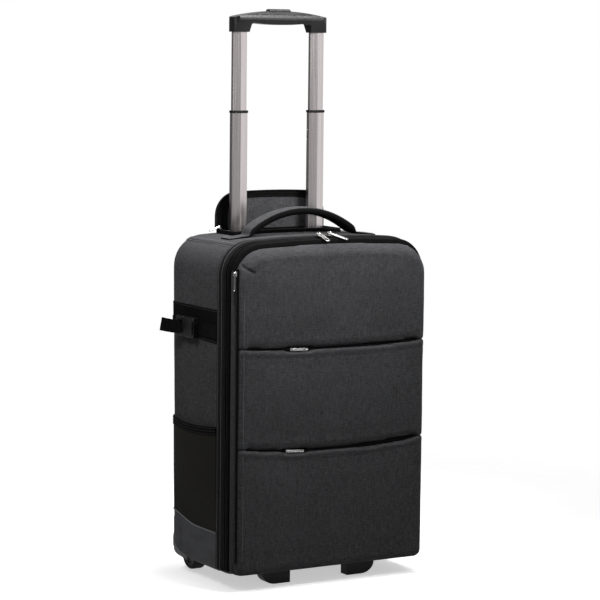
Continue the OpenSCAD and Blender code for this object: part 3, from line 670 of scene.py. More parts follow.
def ribbed(name, dark, light, pitch, rough=0.8):
    """Woven tape or webbing with fine ribs across."""
    material, tree, shader, place = new_material(name, rough, 0.035)
    rib = put(tree, "TexChecker", Vector=place, Scale=1 / pitch).outputs["Fac"]
    fuzz = speckle(tree, place, 500.0)
    tint(tree, shader, fuzz, dark, light, 0.3, 0.72)
    relief = maths(tree, "MULTIPLY_ADD", rib, 0.6, fuzz)
    dent(tree, shader, relief, 0.5, 0.25 * mm)
    return material


black_tape = ribbed("black_tape", (0.0012, 0.0012, 0.0012), (0.0042, 0.0042, 0.0042), 1.1 * mm)
binding_cloth = woven("dark_binding", (0.004, 0.004, 0.0043), (0.012, 0.012, 0.0125),
                      pitch=0.8 * mm, fuzz=0.005)
coil_nylon = moulded("coil_nylon", (0.003, 0.003, 0.003), (0.009, 0.009, 0.009), rough=0.5, specular=0.12)


def zip_line(inset):
    """Run of the main zip, from low on the right over the top to low on the left."""
    top = crowned_top(half_w, crown_top, crown_drop, corner_r, inset)
    side = half_w - inset
    return [(side, zip_low), (side, zip_middle), *top, (-side, zip_middle), (-side, zip_low)]


def top_line(inset):
    """Run of the main zip over the top alone, with most of its two corners."""
    return crowned_top(half_w, crown_top, crown_drop, corner_r, inset)[2:-2]


def band(profile, inset, line=zip_line):
    """Solid along the main zip from a closed profile of places along Y and heights above the cloth."""
    lines = [[(x, y, z) for x, z in line(inset - lift)] for y, lift in profile]
    return loft(list(zip(*lines)))


def along_zip(y, inset, pitch):
    """Stations on the zip at one place along Y, with the direction and the outward direction."""
    route = [(x, y, z) for x, z in zip_line(inset)]
    return [(place, way, Vector((0, 1, 0)).cross(way)) for place, way in walk(route, pitch)]


def coil(name, y, inset, body_name, shift):
    """One half of the coil: a loop every pitch, lying across the zip."""
    across = Vector((0, 1, 0))
    stations = [(place + way * shift, across, out) for place, way, out in along_zip(y, inset, tooth_pitch)]
    scatter(name, grain(3.2 * mm, 0.6 * mm), stations, coil_nylon, body_name)


# Section of the binding from its rear edge to the coil, in millimetres: behind the parting plane and above
# the cloth. The stitches lie in its two grooves.
rim_profile = [(28.0, -0.6), (28.0, 0.7), (27.2, 1.4), (25.8, 1.5), (24.6, 1.0), (23.4, 1.6), (16.0, 1.9),
               (14.6, 1.5), (13.4, 1.0), (12.2, 1.5), (10.6, 1.8), (4.6, 1.7), (3.2, 1.1), (2.6, 0.5),
               (0.5, 0.4), (0.4, -0.6)]
grooves = (24.6 * mm, 13.4 * mm)
body_rim = add_piece("body_zip_band", *band([(parting + y * mm, z * mm) for y, z in rim_profile], 0.0),
                     binding_cloth, black_tape, sharp=60)
for face in body_rim.data.polygons:
    face.material_index = int(face.center.y < parting + 3 * mm)
fix(body_rim, "case", "body_zip_tape")
binding_stitches = []
for groove in grooves:
    binding_stitches += along_zip(parting + groove, -1.1 * mm, stitch_pitch)
scatter("body_zip_stitches", grain(2.8 * mm, 0.5 * mm), binding_stitches, pale_thread, "case")
coil("body_coil", parting + 1.5 * mm, -0.5 * mm, "case", 0.0)

# Lid frame
# Shallow gusset of the front lid, padded and lined like the body and set in a little from its edge.
# It turns on the fold along its lower edge; at the sides its cloth runs forward to the pockets.
lid_low, lid_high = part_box("lid_shell")
lid_inset = half_w - lid_high.x
lid_front = lid_low.y
lid_rear = lid_high.y
gusset = 5 * mm
side_reach = 6 * mm
reach_foot = (30 * mm, 60 * mm)
reach_head = (420 * mm, 470 * mm)
reaching_rings = 3


def case_outline(inset):
    """Outline of the front of the case, set in by an amount."""
    side = half_w - inset
    low = ground + inset
    radius = max(base_r - inset, 5 * mm)
    top = crowned_top(half_w, crown_top, crown_drop, corner_r, inset)
    heights = spread(low + radius, top[0][1], 24)[1:-1]
    return (arc(side - radius, low + radius, radius, -90, 0, 8)
            + [(side, z) for z in heights] + top + [(-side, z) for z in reversed(heights)]
            + arc(radius - side, low + radius, radius, 180, 270, 8))


# Rings from the front round the outside to the lining: place along Y, then millimetres in from the body.
frame_rings = [(lid_front, 12), (lid_front, 3.4), (lid_front + 0.5 * mm, 3), (lid_rear - 0.8 * mm, 3),
               (lid_rear - 0.1 * mm, 3.8), (lid_rear, 5), (lid_rear - 0.2 * mm, 7.3), (lid_rear - 1 * mm, 8),
               (lid_front + gusset + 1 * mm, 8), (lid_front + gusset, 9), (lid_front + gusset, 16)]
rings = []
for number, (y, inset) in enumerate(frame_rings):
    ring = []
    for x, z in case_outline(inset * mm):
        reach = side_reach * float(ease(z, *reach_foot) * (1 - ease(z, *reach_head)))
        ring.append((x, y - reach if number < reaching_rings else y, z))
    rings.append(ring)
lid_frame = add_piece("lid_frame", *loft(rings), charcoal, lining, sharp=50)
for face in lid_frame.data.polygons:
    covered = depth_in_body(np.array([face.center]))[0] > wall
    face.material_index = int(covered and face.center.y > lid_front + 1 * mm)
fix(lid_frame, "lid", "lid_shell")

# Main zip, lid half
# The other half of the coil zip, on a black tape that stands level with the rim of the body.
# Its front edge is rolled over a cord; on top a wider tape laps over the gusset and is sewn down in front.

# Section of the tape from the coil to its rolled edge, measured as for the binding.
lid_profile = [(-0.7, -0.6), (-0.8, 1.6), (-1.6, 2.0), (-5.4, 2.1), (-6.4, 2.6), (-7.6, 3.0), (-9.0, 2.8),
               (-10.0, 1.8), (-10.2, -0.6)]
lid_rim = add_piece("lid_zip_band", *band([(parting + y * mm, z * mm) for y, z in lid_profile], lid_inset),
                    black_tape, sharp=60)
fix(lid_rim, "lid", "lid_zip_tape")
coil("lid_coil", parting - 2.0 * mm, lid_inset - 2.4 * mm, "lid", tooth_pitch / 2)

# Section of the lap from its rear edge over the gusset and back underneath: place along Y, height above it.
tape_rear = parting - 9.5 * mm
top_profile = [(tape_rear, 1.6 * mm), (tape_rear - 2 * mm, 2.2 * mm), (lid_front + 1 * mm, 2.0 * mm),
               (lid_front - 1 * mm, 1.2 * mm), (lid_front - 1.6 * mm, 0), (lid_front - 1.8 * mm, -9 * mm),
               (lid_front - 0.6 * mm, -9 * mm), (lid_front - 0.4 * mm, -0.4 * mm), (tape_rear, -0.4 * mm)]
top_tape = add_piece("lid_top_tape", *band(top_profile, lid_inset, top_line), black_tape, sharp=60)
fix(top_tape, "lid", "lid_zip_tape")

# Pockets on the lid
# Three padded cloth panels, one above the other, with slanting zipped openings between them.
# Each opening is a hem that laps over the tape; one row of faint stitches runs along the left edge.
pocket_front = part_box("upper_panel")[0].y
line_one = (391 * mm, 6 * mm)
line_two = (232 * mm, 11 * mm)
half_gap = 3.5 * mm
swell = 4 * mm
hem_roll = 1.0 * mm
hem_groove = 0.5 * mm
tuck_in = 2.4 * mm
sewn_shut = 4.6 * mm
seam_depth = 0.8 * mm
fold_depth = 3.2 * mm
forward = Vector((0, -1, 0))


def sag(x, side_z, drop):
    """Height of a sagging pocket line."""
    radius = (half_w ** 2 + drop ** 2) / (2 * drop)
    return side_z - drop + radius - np.sqrt(radius ** 2 - x ** 2)


def hump(value, middle, width):
    """Smooth bump that is 1 at its middle and fades within a width."""
    return np.exp(-((value - middle) / width) ** 2)


def plump(piece, held, pressure, cap):
    """Lets the foam press the cloth out between its sewn edges, by no more than a cap."""
    before = get_points(piece)
    group = piece.vertex_groups.new(name="held")
    for level in (0.25, 0.5, 0.75, 1.0):
        chosen = np.nonzero((held > level - 0.125) & (held <= level + 0.125))[0]
        group.add(chosen.tolist(), level, "REPLACE")
    cloth = piece.modifiers.new("Cloth", "CLOTH")
    cloth.settings.quality = 4
    cloth.settings.mass = 0.35
    cloth.settings.tension_stiffness = 20
    cloth.settings.compression_stiffness = 20
    cloth.settings.shear_stiffness = 8
    cloth.settings.bending_stiffness = 1.5
    cloth.settings.use_pressure = True
    cloth.settings.uniform_pressure_force = pressure
    cloth.settings.vertex_group_mass = "held"
    cloth.settings.effector_weights.gravity = 0.0
    cloth.collision_settings.use_collision = False
    for step in range(1, 17):
        bpy.context.scene.frame_set(step)
    settle(piece)
    bpy.context.scene.frame_set(1)
    moved = get_points(piece) - before
    far = np.linalg.norm(moved, axis=1, keepdims=True)
    set_points(piece, before + moved * np.minimum(1.0, cap / np.maximum(far, 1e-9)))


def shut(x, line):
    """How far a pocket opening is drawn shut, from 0 to 1: open round its slider and slack at the right."""
    pair = "upper" if line == line_one else "lower"
    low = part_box(pair + "_pocket_slider")[0].x
    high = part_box(pair + "_pocket_pull")[1].x
    room = ease(x, low - 12 * mm, low - 3 * mm) * (1 - ease(x, high + 2 * mm, high + 14 * mm))
    slack_right = ease(x, 10 * mm, 70 * mm) * (1 - ease(x, 142 * mm, 162 * mm))
    return 1 - np.maximum(room, slack_right * (0.3 if line == line_one else 1.0))


def panel(name, node, upper, lower):
    """One pocket panel: foam-filled, hemmed along its upper line and tucked in along its lower line."""
    piece = soft_copy(name, node, 4 * mm)
    relax(piece, 2)
    points = get_points(piece)
    x, y, z = points.T
    rise = np.minimum(sag(x, *upper) - z if upper else 1.0, z - sag(x, *lower) if lower else 1.0)
    edge = np.minimum(rise - half_gap, half_w - lid_inset - np.abs(x))
    held = np.maximum(1 - ease(edge, 6 * mm, 30 * mm), ease(y, pocket_front + 6 * mm, pocket_front + 12 * mm))
    held = np.maximum(held, 1 - ease(depth_in_body(points), 10 * mm, 36 * mm))
    plump(piece, held, 4.0, swell)
    smooth = piece.modifiers.new("Smooth", "SUBSURF")
    smooth.levels = 1
    smooth.render_levels = 1
    settle(piece)
    points = get_points(piece)
    out = get_points(piece, "normal")
    x, y, z = points.T
    # How far a point is at the front, where an opening closes towards the side, and where it is sewn shut.
    front = 1 - ease(y, pocket_front + 4 * mm, pocket_front + 15 * mm)
    side = half_w - lid_inset
    closing = ease(np.abs(x), side - 20 * mm, side - 12 * mm)
    sewn = 1 - ease(side - np.abs(x), 13 * mm, 18 * mm)
    reach = np.maximum(front, sewn)
    shift = np.zeros_like(points)
    # The hem under an opening is drawn up and rolled forward; the cloth above is drawn down and tucked in.
    if upper:
        under = sag(x, *upper) - z
        near = (1 - ease(under, half_gap, 17 * mm)) * reach
        drawn = (0.5 + 2.1 * shut(x, upper) + 1.1 * closing) * mm
        shift[:, 2] += near * np.maximum(drawn, sewn_shut * sewn)
        shift[:, 1] -= front * hem_roll * hump(under, 7 * mm, 4.5 * mm)
        shift[:, 1] += front * hem_groove * hump(under, 14 * mm, 1.6 * mm)
    if lower:
        over = z - sag(x, *lower)
        near = (1 - ease(over, half_gap, 15 * mm)) * reach
        drawn = (0.3 + 1.9 * shut(x, lower) + 1.5 * closing) * mm
        shift[:, 2] -= near * np.maximum(drawn, sewn_shut * sewn)
        shift[:, 1] += near * tuck_in * (1 - closing)
    # The seam at the left edge, and the slanting fold at the upper left corner.
    from_left = x + side
    seam = hump(from_left, 11.5 * mm, 1.3 * mm) + 0.6 * hump(from_left, 6 * mm, 1.2 * mm)
    seam = seam * ease(z, 40 * mm, 60 * mm) * (1 - ease(z, 470 * mm, 500 * mm)) * front
    fold_start = np.array((6 * mm - side, 531 * mm))
    fold_way = np.array((20 * mm, -13 * mm))
    from_start = np.stack((x, z), axis=1) - fold_start
    share = np.clip(from_start @ fold_way / (fold_way @ fold_way), 0, 1)
    from_fold = np.linalg.norm(from_start - share[:, None] * fold_way, axis=1)
    fold = hump(from_fold, 0.0, 2.6 * mm) * front
    wave = 0.7 * mm * ripple(points, 110 * mm, 5) + 0.3 * mm * ripple(points, 32 * mm, 6)
    shift += out * (wave * front - seam_depth * seam - fold_depth * fold)[:, None]
    # The top sinks a little below the zip, most of all in front.
    shift[:, 2] -= 6 * mm * ease(z, 460 * mm, 556 * mm) * (1 - ease(y, pocket_front, pocket_front + 16 * mm))
    shift[:, 2] -= 5 * mm * ease(z, 480 * mm, 545 * mm)
    set_points(piece, points + shift)
    piece.data.shade_smooth()
    piece.data.materials.append(charcoal)
    fix(piece, "lid", node)
    return piece


panel("upper_front", "upper_panel", None, line_one)
panel("middle_front", "middle_pocket", line_one, line_two)
panel("lower_front", "lower_pocket", line_two, None)

from_side = 9.2 * mm
edge_depth = pocket_front + 0.4 * mm
route = [(lid_inset + from_side - half_w, edge_depth, z * mm) for z in range(60, 474, 6)]
edge_stitches = []
for place, way in walk(route, stitch_pitch):
    gap_near = min(abs(place.z - sag(place.x, *line)) for line in (line_one, line_two))
    if gap_near > 6 * mm:
        edge_stitches.append((place, way, forward))
scatter("edge_stitches", grain(2.8 * mm, 0.4 * mm), edge_stitches, faint_thread, "lid")

# Pocket zips
# Fine black coil zips on narrow tapes: two along the sagging pocket lines, one upright at the left edge.
# The two lie deep between the hems, where only their pulls catch the light; the third lies at the surface.
tape_low, tape_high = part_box("pocket_zip_tapes")
side_low, side_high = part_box("side_zip_tape")
side_y = (side_low.y + side_high.y) / 2 - 0.6 * mm
leftward = Vector((-1, 0, 0))
fine_pitch = 1.5 * mm


def fine_teeth(route, out, aside):
    """Stations of a fine coil, by turns to one side of its middle and to the other."""
    stations = []
    for number, (place, way) in enumerate(walk(route, fine_pitch / 2)):
        across = out.cross(way)
        side = 1 if number % 2 else -1
        stations.append((place + across * side * aside + out * aside, across, out))
    return stations


tape_parts = []
teeth = []
section = both_halves([(-3.3 * mm, -9 * mm), (-3.3 * mm, 0), (-1.2 * mm, 0.5 * mm)])
for line in (line_one, line_two):
    route = [(x, tape_low.y + 1.4 * mm, float(sag(x, *line))) for x in spread(tape_low.x, tape_high.x, 40)]
    tape_parts.append(strip(route, forward, section))
    teeth += fine_teeth(route, forward, 0.7 * mm)
pocket_tapes = add_piece("pocket_tapes", *joined(tape_parts), black_tape)
fix(pocket_tapes, "lid", "pocket_zip_tapes")

route = [(lid_inset - half_w, side_y, z) for z in spread(side_low.z, side_high.z, 20)]
section = both_halves([(-3.0 * mm, -1.5 * mm), (-3.0 * mm, 0.2 * mm), (-1.0 * mm, 0.5 * mm)])
side_tape = add_piece("side_tape", *strip(route, leftward, section), black_tape)
fix(side_tape, "lid", "side_zip_tape")
teeth += fine_teeth(route, leftward, 0.6 * mm)
scatter("pocket_coils", grain(2.2 * mm, 0.42 * mm), teeth, coil_nylon, "lid")

# Zip sliders and pulls
# Polished nickel-plated zinc castings: a slider with an arched bail, and a pull with a thin web in its rim.
# The pull hangs on a pin under the bail and has an open slot at its tip for a lock.
nickel = metal("bright_nickel", (0.30, 0.30, 0.296), (0.44, 0.44, 0.434), 0.18, (500, 500, 500))
# The web of a pull is matt, and its metal is painted far darker than the rim: that darkness is painted shade for
# its recess.
web_nickel_painted_shade = metal("recessed_nickel", (0.07, 0.07, 0.07), (0.14, 0.14, 0.14), 0.4, (500, 500, 500))
pivots = {joint["child"]: joint for joint in frame["joints"]}
upward = Vector((0, 0, 1))


def tube(route, radius, sides=8):
    """Round wire along a closed or open route."""
    closed = (Vector(route[0]) - Vector(route[-1])).length < 1e-9
    route = [Vector(p) for p in (route[:-1] if closed else route)]
    count = len(route)
    points = []
    side = None
    for i, place in enumerate(route):
        before = route[i - 1] if closed or i else place
        after = route[(i + 1) % count] if closed or i < count - 1 else place
        way = (after - before).normalized()
        if side is None:
            side = way.orthogonal().normalized()
        side = (side - way * side.dot(way)).normalized()
        up = way.cross(side)
        for k in range(sides):
            turn = 2 * math.pi * k / sides
            points.append(place + side * radius * math.cos(turn) + up * radius * math.sin(turn))
    faces = []
    for i in range(count if closed else count - 1):
        for k in range(sides):
            after = (k + 1) % sides
            there = ((i + 1) % count) * sides
            faces.append((i * sides + k, i * sides + after, there + after, there + k))
    if not closed:
        faces.append(tuple(range(sides)))
        faces.append(tuple((count - 1) * sides + k for k in range(sides)))
    return points, faces


def block(length, width, height, edge):
    """Casting with broken edges, centred, standing on zero height."""
    work = bmesh.new()
    bmesh.ops.create_cube(work, size=1.0)
    bmesh.ops.scale(work, vec=(length, width, height), verts=work.verts)
    bmesh.ops.translate(work, vec=(0, 0, height / 2), verts=work.verts)
    bmesh.ops.bevel(work, geom=work.edges[:], offset=edge, segments=2, affect="EDGES", profile=0.6)
    points = [v.co.copy() for v in work.verts]
    faces = [tuple(v.index for v in f.verts) for f in work.faces]
    work.free()
    return points, faces


def gather(parts):
    """One mesh from several, each given with the frame it stands in."""
    return joined(([place @ Vector(p) for p in points], faces) for (points, faces), place in parts)


def body_of(node):
    """Name of the body that a node of the frame belongs to."""
    bodies = frame["record"]["behaviour"]["bodies"]
    return next(name for name, nodes in bodies.items() if node in nodes)


def frame_at(origin, along, out):
    """Frame at a place, with its first axis along a direction and its third axis outward."""
    across = out.cross(along)
    columns = Matrix((along, across, out)).transposed().to_4x4()
    return Matrix.Translation(origin) @ columns


def zip_set(slider_node, pull_node, outward, lift, length, width, plate, wire):
    """Slider and pull for one zip, built round the pin that the pull swings on."""
    pull_body = body_of(pull_node)
    joint = pivots[pull_body]
    pin = Vector(joint["pos_m"])
    axis = Vector(joint["axis"]).normalized()
    low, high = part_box(pull_node)
    along = (low + high) / 2 - pin
    along = (along - axis * along.dot(axis)).normalized()
    out = along.cross(axis).normalized()
    half = width / 2 - wire
    tip = length - half - wire
    ring = arc(tip, 0, half, -90, 90, 12) + arc(0, 0, half, 90, 270, 12)
    rim = tube([(a, b, 0) for a, b in [*ring, ring[0]]], wire)
    web_start = 0.16 * length
    web_end = 0.7 * length
    web = block(web_end - web_start, 2 * half, 0.7 * wire, 0.15 * wire)
    ridge = tube([(web_start + 2 * wire, 0, 0.3 * wire), (web_end - 2 * wire, 0, 0.3 * wire)], 0.5 * wire)
    here = frame_at(pin, along, out if out.dot(outward) > 0 else -out)
    centre_web = Matrix.Translation(((web_start + web_end) / 2, 0, -0.35 * wire))
    rod = tube([(0, -half, 0), (0, half, 0)], 0.85 * wire)
    parts = [(web, here @ centre_web), (rim, here), (ridge, here), (rod, here)]
    pull = add_piece(pull_node + "_cast", *gather(parts), nickel, web_nickel_painted_shade, sharp=50)
    # The web takes the darker metal, whose dark colour is painted shade.
    for face in pull.data.polygons[:len(web[1])]:
        face.material_index = 1
    fix(pull, pull_body, pull_node)
    travel = axis.cross(outward).normalized()
    base = pin - outward * lift
    stand = frame_at(base, travel, outward)
    plate_l, plate_w, bail_half = plate
    rise = lift + 1.9 * wire
    arch = [(-bail_half, 0, 1.2 * mm)]
    for turn in range(180, -1, -20):
        height = 1.4 * mm + (rise - 1.4 * mm) * math.sin(math.radians(turn)) ** 0.7
        arch.append((bail_half * math.cos(math.radians(turn)), 0, height))
    arch.append((bail_half, 0, 1.2 * mm))
    parts = [block(plate_l, plate_w, 2.0 * mm, 0.55 * mm),
             block(plate_l * 0.6, plate_w * 0.55, 2.5 * mm, 0.5 * mm), tube(arch, 0.95 * wire)]
    slider = add_piece(slider_node + "_cast", *gather((part, stand) for part in parts), nickel, sharp=50)
    fix(slider, body_of(slider_node), slider_node)


# Each call gives the outward direction, the height of the pin, the length and width of the pull, then the
# length and width of the slider with half the length of its bail, and the radius of the wire.
for side in ("left", "right"):
    pin = Vector(pivots[side + "_zip_pull"]["pos_m"])
    radial = Vector((pin.x, 0, pin.z - crown_top + crown_r)).normalized()
    zip_set(side + "_main_slider", side + "_main_pull", radial, 5 * mm, 36 * mm, 9 * mm,
            (10 * mm, 12 * mm, 3.6 * mm), 1.05 * mm)
for level in ("upper", "lower"):
    zip_set(level + "_pocket_slider", level + "_pocket_pull", forward, 3.8 * mm, 28 * mm, 4.0 * mm,
            (8 * mm, 4.2 * mm, 2.6 * mm), 0.7 * mm)
zip_set("side_slider", "side_pull", leftward, 3.8 * mm, 28 * mm, 4.6 * mm,
        (8 * mm, 4.4 * mm, 2.6 * mm), 0.75 * mm)
zip_set("flap_slider", "flap_pull", upward, 4.2 * mm, 20 * mm, 5.2 * mm,
        (7 * mm, 4.6 * mm, 2.6 * mm), 0.8 * mm)

# Trolley recess rim
# Black tape collar that stands up round three sides of the recess, with half of the flap's zip on top.
# It is sewn into the top panel; the fourth side is the fold of the flap.
rim_low, rim_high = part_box("pocket_rim_tape")
rim_turn = 8 * mm
rim_mid = 1.5 * mm
left_x, right_x = rim_low.x + rim_mid, rim_high.x - rim_mid
front_y = rim_low.y + rim_mid
plan = [(left_x, y) for y in spread(rim_high.y, front_y + rim_turn, 10)]
plan += arc(left_x + rim_turn, front_y + rim_turn, rim_turn, 180, 270, 6)[1:]
plan += [(x, front_y) for x in spread(left_x + rim_turn, right_x - rim_turn, 24)[1:]]
plan += arc(right_x - rim_turn, front_y + rim_turn, rim_turn, 270, 360, 6)[1:]
plan += [(right_x, y) for y in spread(front_y + rim_turn, rim_high.y, 10)[1:]]
rim_height = 6 * mm
route = [(x, y, crown_z(x)) for x, y in plan]
collar_section = both_halves([(-1.4 * mm, -2 * mm), (-1.9 * mm, 1 * mm), (-1.5 * mm, 3 * mm),
                              (-1.7 * mm, 5 * mm), (-0.8 * mm, rim_height)])
rim = add_piece("recess_collar", *strip(route, upward, collar_section), black_tape, sharp=60)
fix(rim, "case", "pocket_rim_tape")
rim_teeth = []
for place, way in walk([(x, y, z + rim_height - 0.1 * mm) for x, y, z in route], tooth_pitch):
    rim_teeth.append((place, upward.cross(way), upward))
scatter("recess_coil", grain(2.4 * mm, 0.5 * mm), rim_teeth, coil_nylon, "case")

# Pull handle
# Two-stage telescopic handle of extruded aluminium tubes, satin anodised in a warm grey, with a moulded grip.
# Black collars guide the stages; a sprung button in the grip draws the lock bolts through two rods.
alloy = metal("satin_alloy", (0.50, 0.455, 0.46), (0.60, 0.555, 0.56), 0.26, (900, 900, 6))
grip_black = moulded("grip_black", (0.003, 0.003, 0.0033), (0.008, 0.008, 0.0085), rough=0.42, specular=0.28)
for node in ("outer_tubes", "middle_tubes", "inner_tubes"):
    dress(node, alloy, 0.6 * mm, bend=20)
for node in ("middle_collars", "tube_plugs"):
    dress(node, black_plastic, 0.4 * mm)
for node in ("grip_base", "grip_cover", "release_button"):
    dress(node, grip_black, 0.8 * mm)
dress("push_rods", steel, 0.3 * mm)
dress("return_springs", steel, 0)

# Carry handle
# Padded strap handle: charcoal cloth on top, black tape round its edges and below, over a foam core.
# Its flat ends are sewn down on the top panel, and the padded middle lifts and tips a little in use.
handle_low, handle_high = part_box("carry_handle")
handle_y = (handle_low.y + handle_high.y) / 2
handle_half_w = (handle_high.y - handle_low.y) / 2
pad_t = 12 * mm
arch_half = 89 * mm
arch_foot = crown_top + 10.6 * mm
arch_h = handle_high.z - pad_t / 2 - arch_foot
arch_r = (arch_half ** 2 + arch_h ** 2) / (2 * arch_h)
arch_mid = handle_high.z - pad_t / 2 - arch_r
tab_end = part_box("handle_anchors")[1].x + 9 * mm
lift_off = 101 * mm
tab_rise = 2.2 * mm
tab_slope = 0.3
tape_t = 1.4 * mm
sewn_in = 3 * mm


def top_z(x):
    """Height of the top of the body, over the crown and round the shoulder."""
    x = abs(x)
    if x <= corner_x:
        return crown_z(x)
    return min(crown_z(x), corner_z + math.sqrt(corner_r ** 2 - (x - corner_x) ** 2))


def handle_line(x):
    """Height of the strap's middle: an arch, a short drop, then a tab that slopes down to the shoulder."""
    x = abs(x)
    start = arch_half + 4 * mm
    if x <= start:
        return arch_mid + math.sqrt(arch_r ** 2 - x * x)
    if x >= lift_off:
        share = (x - lift_off) / (tab_end - lift_off)
        return top_z(x) + 0.6 * mm + (tab_rise - 0.6 * mm) * (1 - share) ** 1.3
    high = arch_mid + math.sqrt(arch_r ** 2 - start * start)
    low = top_z(lift_off) + tab_rise
    span = lift_off - start
    slope = -start / math.sqrt(arch_r ** 2 - start * start)
    t = (x - start) / span
    # The drop leaves the arch along its slope and runs into the tab.
    return ((2 * t ** 3 - 3 * t ** 2 + 1) * high + (t ** 3 - 2 * t ** 2 + t) * span * slope
            + (3 * t ** 2 - 2 * t ** 3) * low - (t ** 3 - t ** 2) * span * tab_slope)


def strap_section(x):
    """Section of the strap: padded and rounded in the middle, flat at the sewn ends."""
    full = 1 - float(ease(abs(x), 93 * mm, lift_off + 1 * mm))
    thick = tape_t + full * (pad_t / 2 - tape_t)
    wide = handle_half_w - 0.5 * mm * (1 - full)
    # One half of the top and one half of the underside, as shares of the half width and half thickness.
    top = [(1.0, -0.05), (0.99, 0.35), (0.93, 0.66), (0.86, 0.78), (0.82, 0.72), (0.78, 0.86), (0.55, 0.98),
           (0.25, 1.04), (0.0, 1.05)]
    under = [(-0.25, -0.98), (-0.6, -0.95), (-0.86, -0.85), (-0.96, -0.5)]
    ring = [(a * wide, b * thick) for a, b in top]
    ring += [(-a * wide, b * thick) for a, b in reversed(top[:-1])]
    ring += [(a * wide, b * thick) for a, b in reversed(under)]
    ring += [(-a * wide, b * thick) for a, b in under]
    return ring


def strap(name, start, end, count):
    """Length of the strap between two places along X, with cloth on top and tape at the edges and below."""
    route = [(x, handle_y, handle_line(x)) for x in spread(start, end, count)]
    solid = strip(route, upward, lambda share: strap_section(start + (end - start) * share))
    piece = add_piece(name, *solid, charcoal, black_tape, sharp=60)
    ring = len(strap_section(0))
    for face in piece.data.polygons:
        spots = sorted(i % ring for i in face.vertices)
        on_top = len(spots) == 4 and min(spots) >= 4 and max(spots) <= 12
        face.material_index = 0 if on_top else 1
    return piece


cut = 62 * mm
grip_strap = strap("carry_strap", -cut, cut, 40)
fix(grip_strap, "handle", "carry_handle")
for side, name in ((-1, "left_strap_end"), (1, "right_strap_end")):
    strap_end = strap(name, side * cut, side * tab_end, 34)
    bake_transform(strap_end)
    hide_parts("handle_anchors")

row_half = handle_half_w - sewn_in
row_end = tab_end - sewn_in
tab_stitches = []
for side in (-1, 1):
    rows = [[(side * x, handle_y + shift * row_half, handle_line(x) + 1.3 * mm)
             for x in spread(tab_end - 14 * mm, tab_end - 2 * mm, 6)] for shift in (-1, 1)]
    rows.append([(side * row_end, y, handle_line(row_end) + 1.5 * mm)
                 for y in spread(handle_y - row_half, handle_y + row_half, 6)])
    for row in rows:
        tab_stitches += [(place, way, upward) for place, way in walk(row, stitch_pitch)]
scatter("strap_end_stitches", grain(2.6 * mm, 0.4 * mm), tab_stitches, pale_thread, "case")

# Trolley flap
# Cloth flap that closes over the lowered pull handle, stiffened by a thin board and edged with zip tape.
# It stands open behind the tubes and folds at its foot, where it is sewn into the top panel.
flap_low, flap_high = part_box("flap_panel")
flap_half = flap_high.x
flap_mid = (flap_low.y + flap_high.y) / 2
flap_corner = 40 * mm
side_share = 1.9


def flap_outline(inset):
    """Outline of the flap from foot to foot over its top, set in by an amount."""
    side = flap_half - inset
    foot = flap_low.z - 1.0 * mm
    return [(side, foot), *crowned_top(flap_half, flap_high.z, 4 * mm, flap_corner, inset), (-side, foot)]


def flap_ring(inset, y, narrow=1.0):
    """Outline of the flap at a place along Y, drawn in at the sides by a factor."""
    return [(x * narrow, flap_mid + y, z) for x, z in flap_outline(inset)]


flap_layers = ((1.0 * mm, -1.5 * mm), (0.4 * mm, -1.1 * mm), (0.4 * mm, 1.1 * mm), (1.0 * mm, 1.5 * mm))
flap = add_piece("flap_cloth", *loft([flap_ring(*layer) for layer in flap_layers]), charcoal, sharp=50)
fix(flap, "flap", "flap_panel")

# Section of the border, in millimetres: in from the edge of the flap, then along Y. It has three ribs, and
# the coil sits on the outer one.
border_section = [(0.1, -1.2), (0.2, -2.2), (0.9, -2.9), (2.0, -2.9), (2.8, -2.4), (4.6, -2.4), (5.4, -2.8),
                  (6.6, -2.8), (7.4, -2.4), (9.2, -2.4), (10.0, -2.9), (11.2, -2.8), (11.8, -2.2),
                  (11.9, -1.2)]
border_lines = []
for inset, y in border_section:
    narrow = (flap_half - side_share * inset * mm) / (flap_half - inset * mm)
    border_lines.append(flap_ring(inset * mm, y * mm, narrow))
flap_border = add_piece("flap_border", *loft(list(zip(*border_lines))), black_tape, sharp=60)
fix(flap_border, "flap", "flap_zip_tape")
flap_teeth = []
for place, way in walk([(x, flap_mid - 3.0 * mm, z) for x, z in flap_outline(1.4 * mm)], tooth_pitch):
    flap_teeth.append((place, forward.cross(way), forward))
scatter("flap_coil", grain(2.4 * mm, 0.5 * mm), flap_teeth, coil_nylon, "flap")

# Fold pipings
# Corded fold lines: one along the bottom, where the lid is sewn to the body, and one at the foot of the flap.
# Each is a cotton cord in a black tape casing, with a strip of tape along it.
lid_axis = pivots["lid"]["pos_m"]
flap_axis = pivots["flap"]["pos_m"]
lid_fold_half = half_w - 35 * mm
flap_fold_half = 100 * mm
strip_half = 138 * mm
strip_reach = 9 * mm
cord_section = round_section(1.9 * mm, 12)
foot_section = both_halves([(-1 * mm, -3 * mm), (-1 * mm, 1 * mm)])
lid_xs = spread(-lid_fold_half, lid_fold_half, 30)
flap_xs = spread(-flap_fold_half, flap_fold_half, 24)
pipings = add_piece("fold_pipings", *joined([
    strip([(x, lid_axis[1], lid_axis[2]) for x in lid_xs], upward, cord_section),
    strip([(x, flap_axis[1], flap_axis[2]) for x in flap_xs], upward, cord_section),
    strip([(x, flap_axis[1], crown_z(x)) for x in flap_xs], upward, foot_section)]), black_tape)
fix(pipings, "case", "hinge_pipings")
fold_ys = spread(lid_axis[1] - strip_reach, lid_axis[1] + strip_reach, 18)
fold_route = [(0, y, ground - 0.6 * mm) for y in fold_ys]
fold_section = both_halves([(-strip_half, -0.5 * mm), (-strip_half, 0.4 * mm)])
fold_strip = add_piece("lid_fold", *strip(fold_route, upward, fold_section), black_tape)
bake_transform(fold_strip)

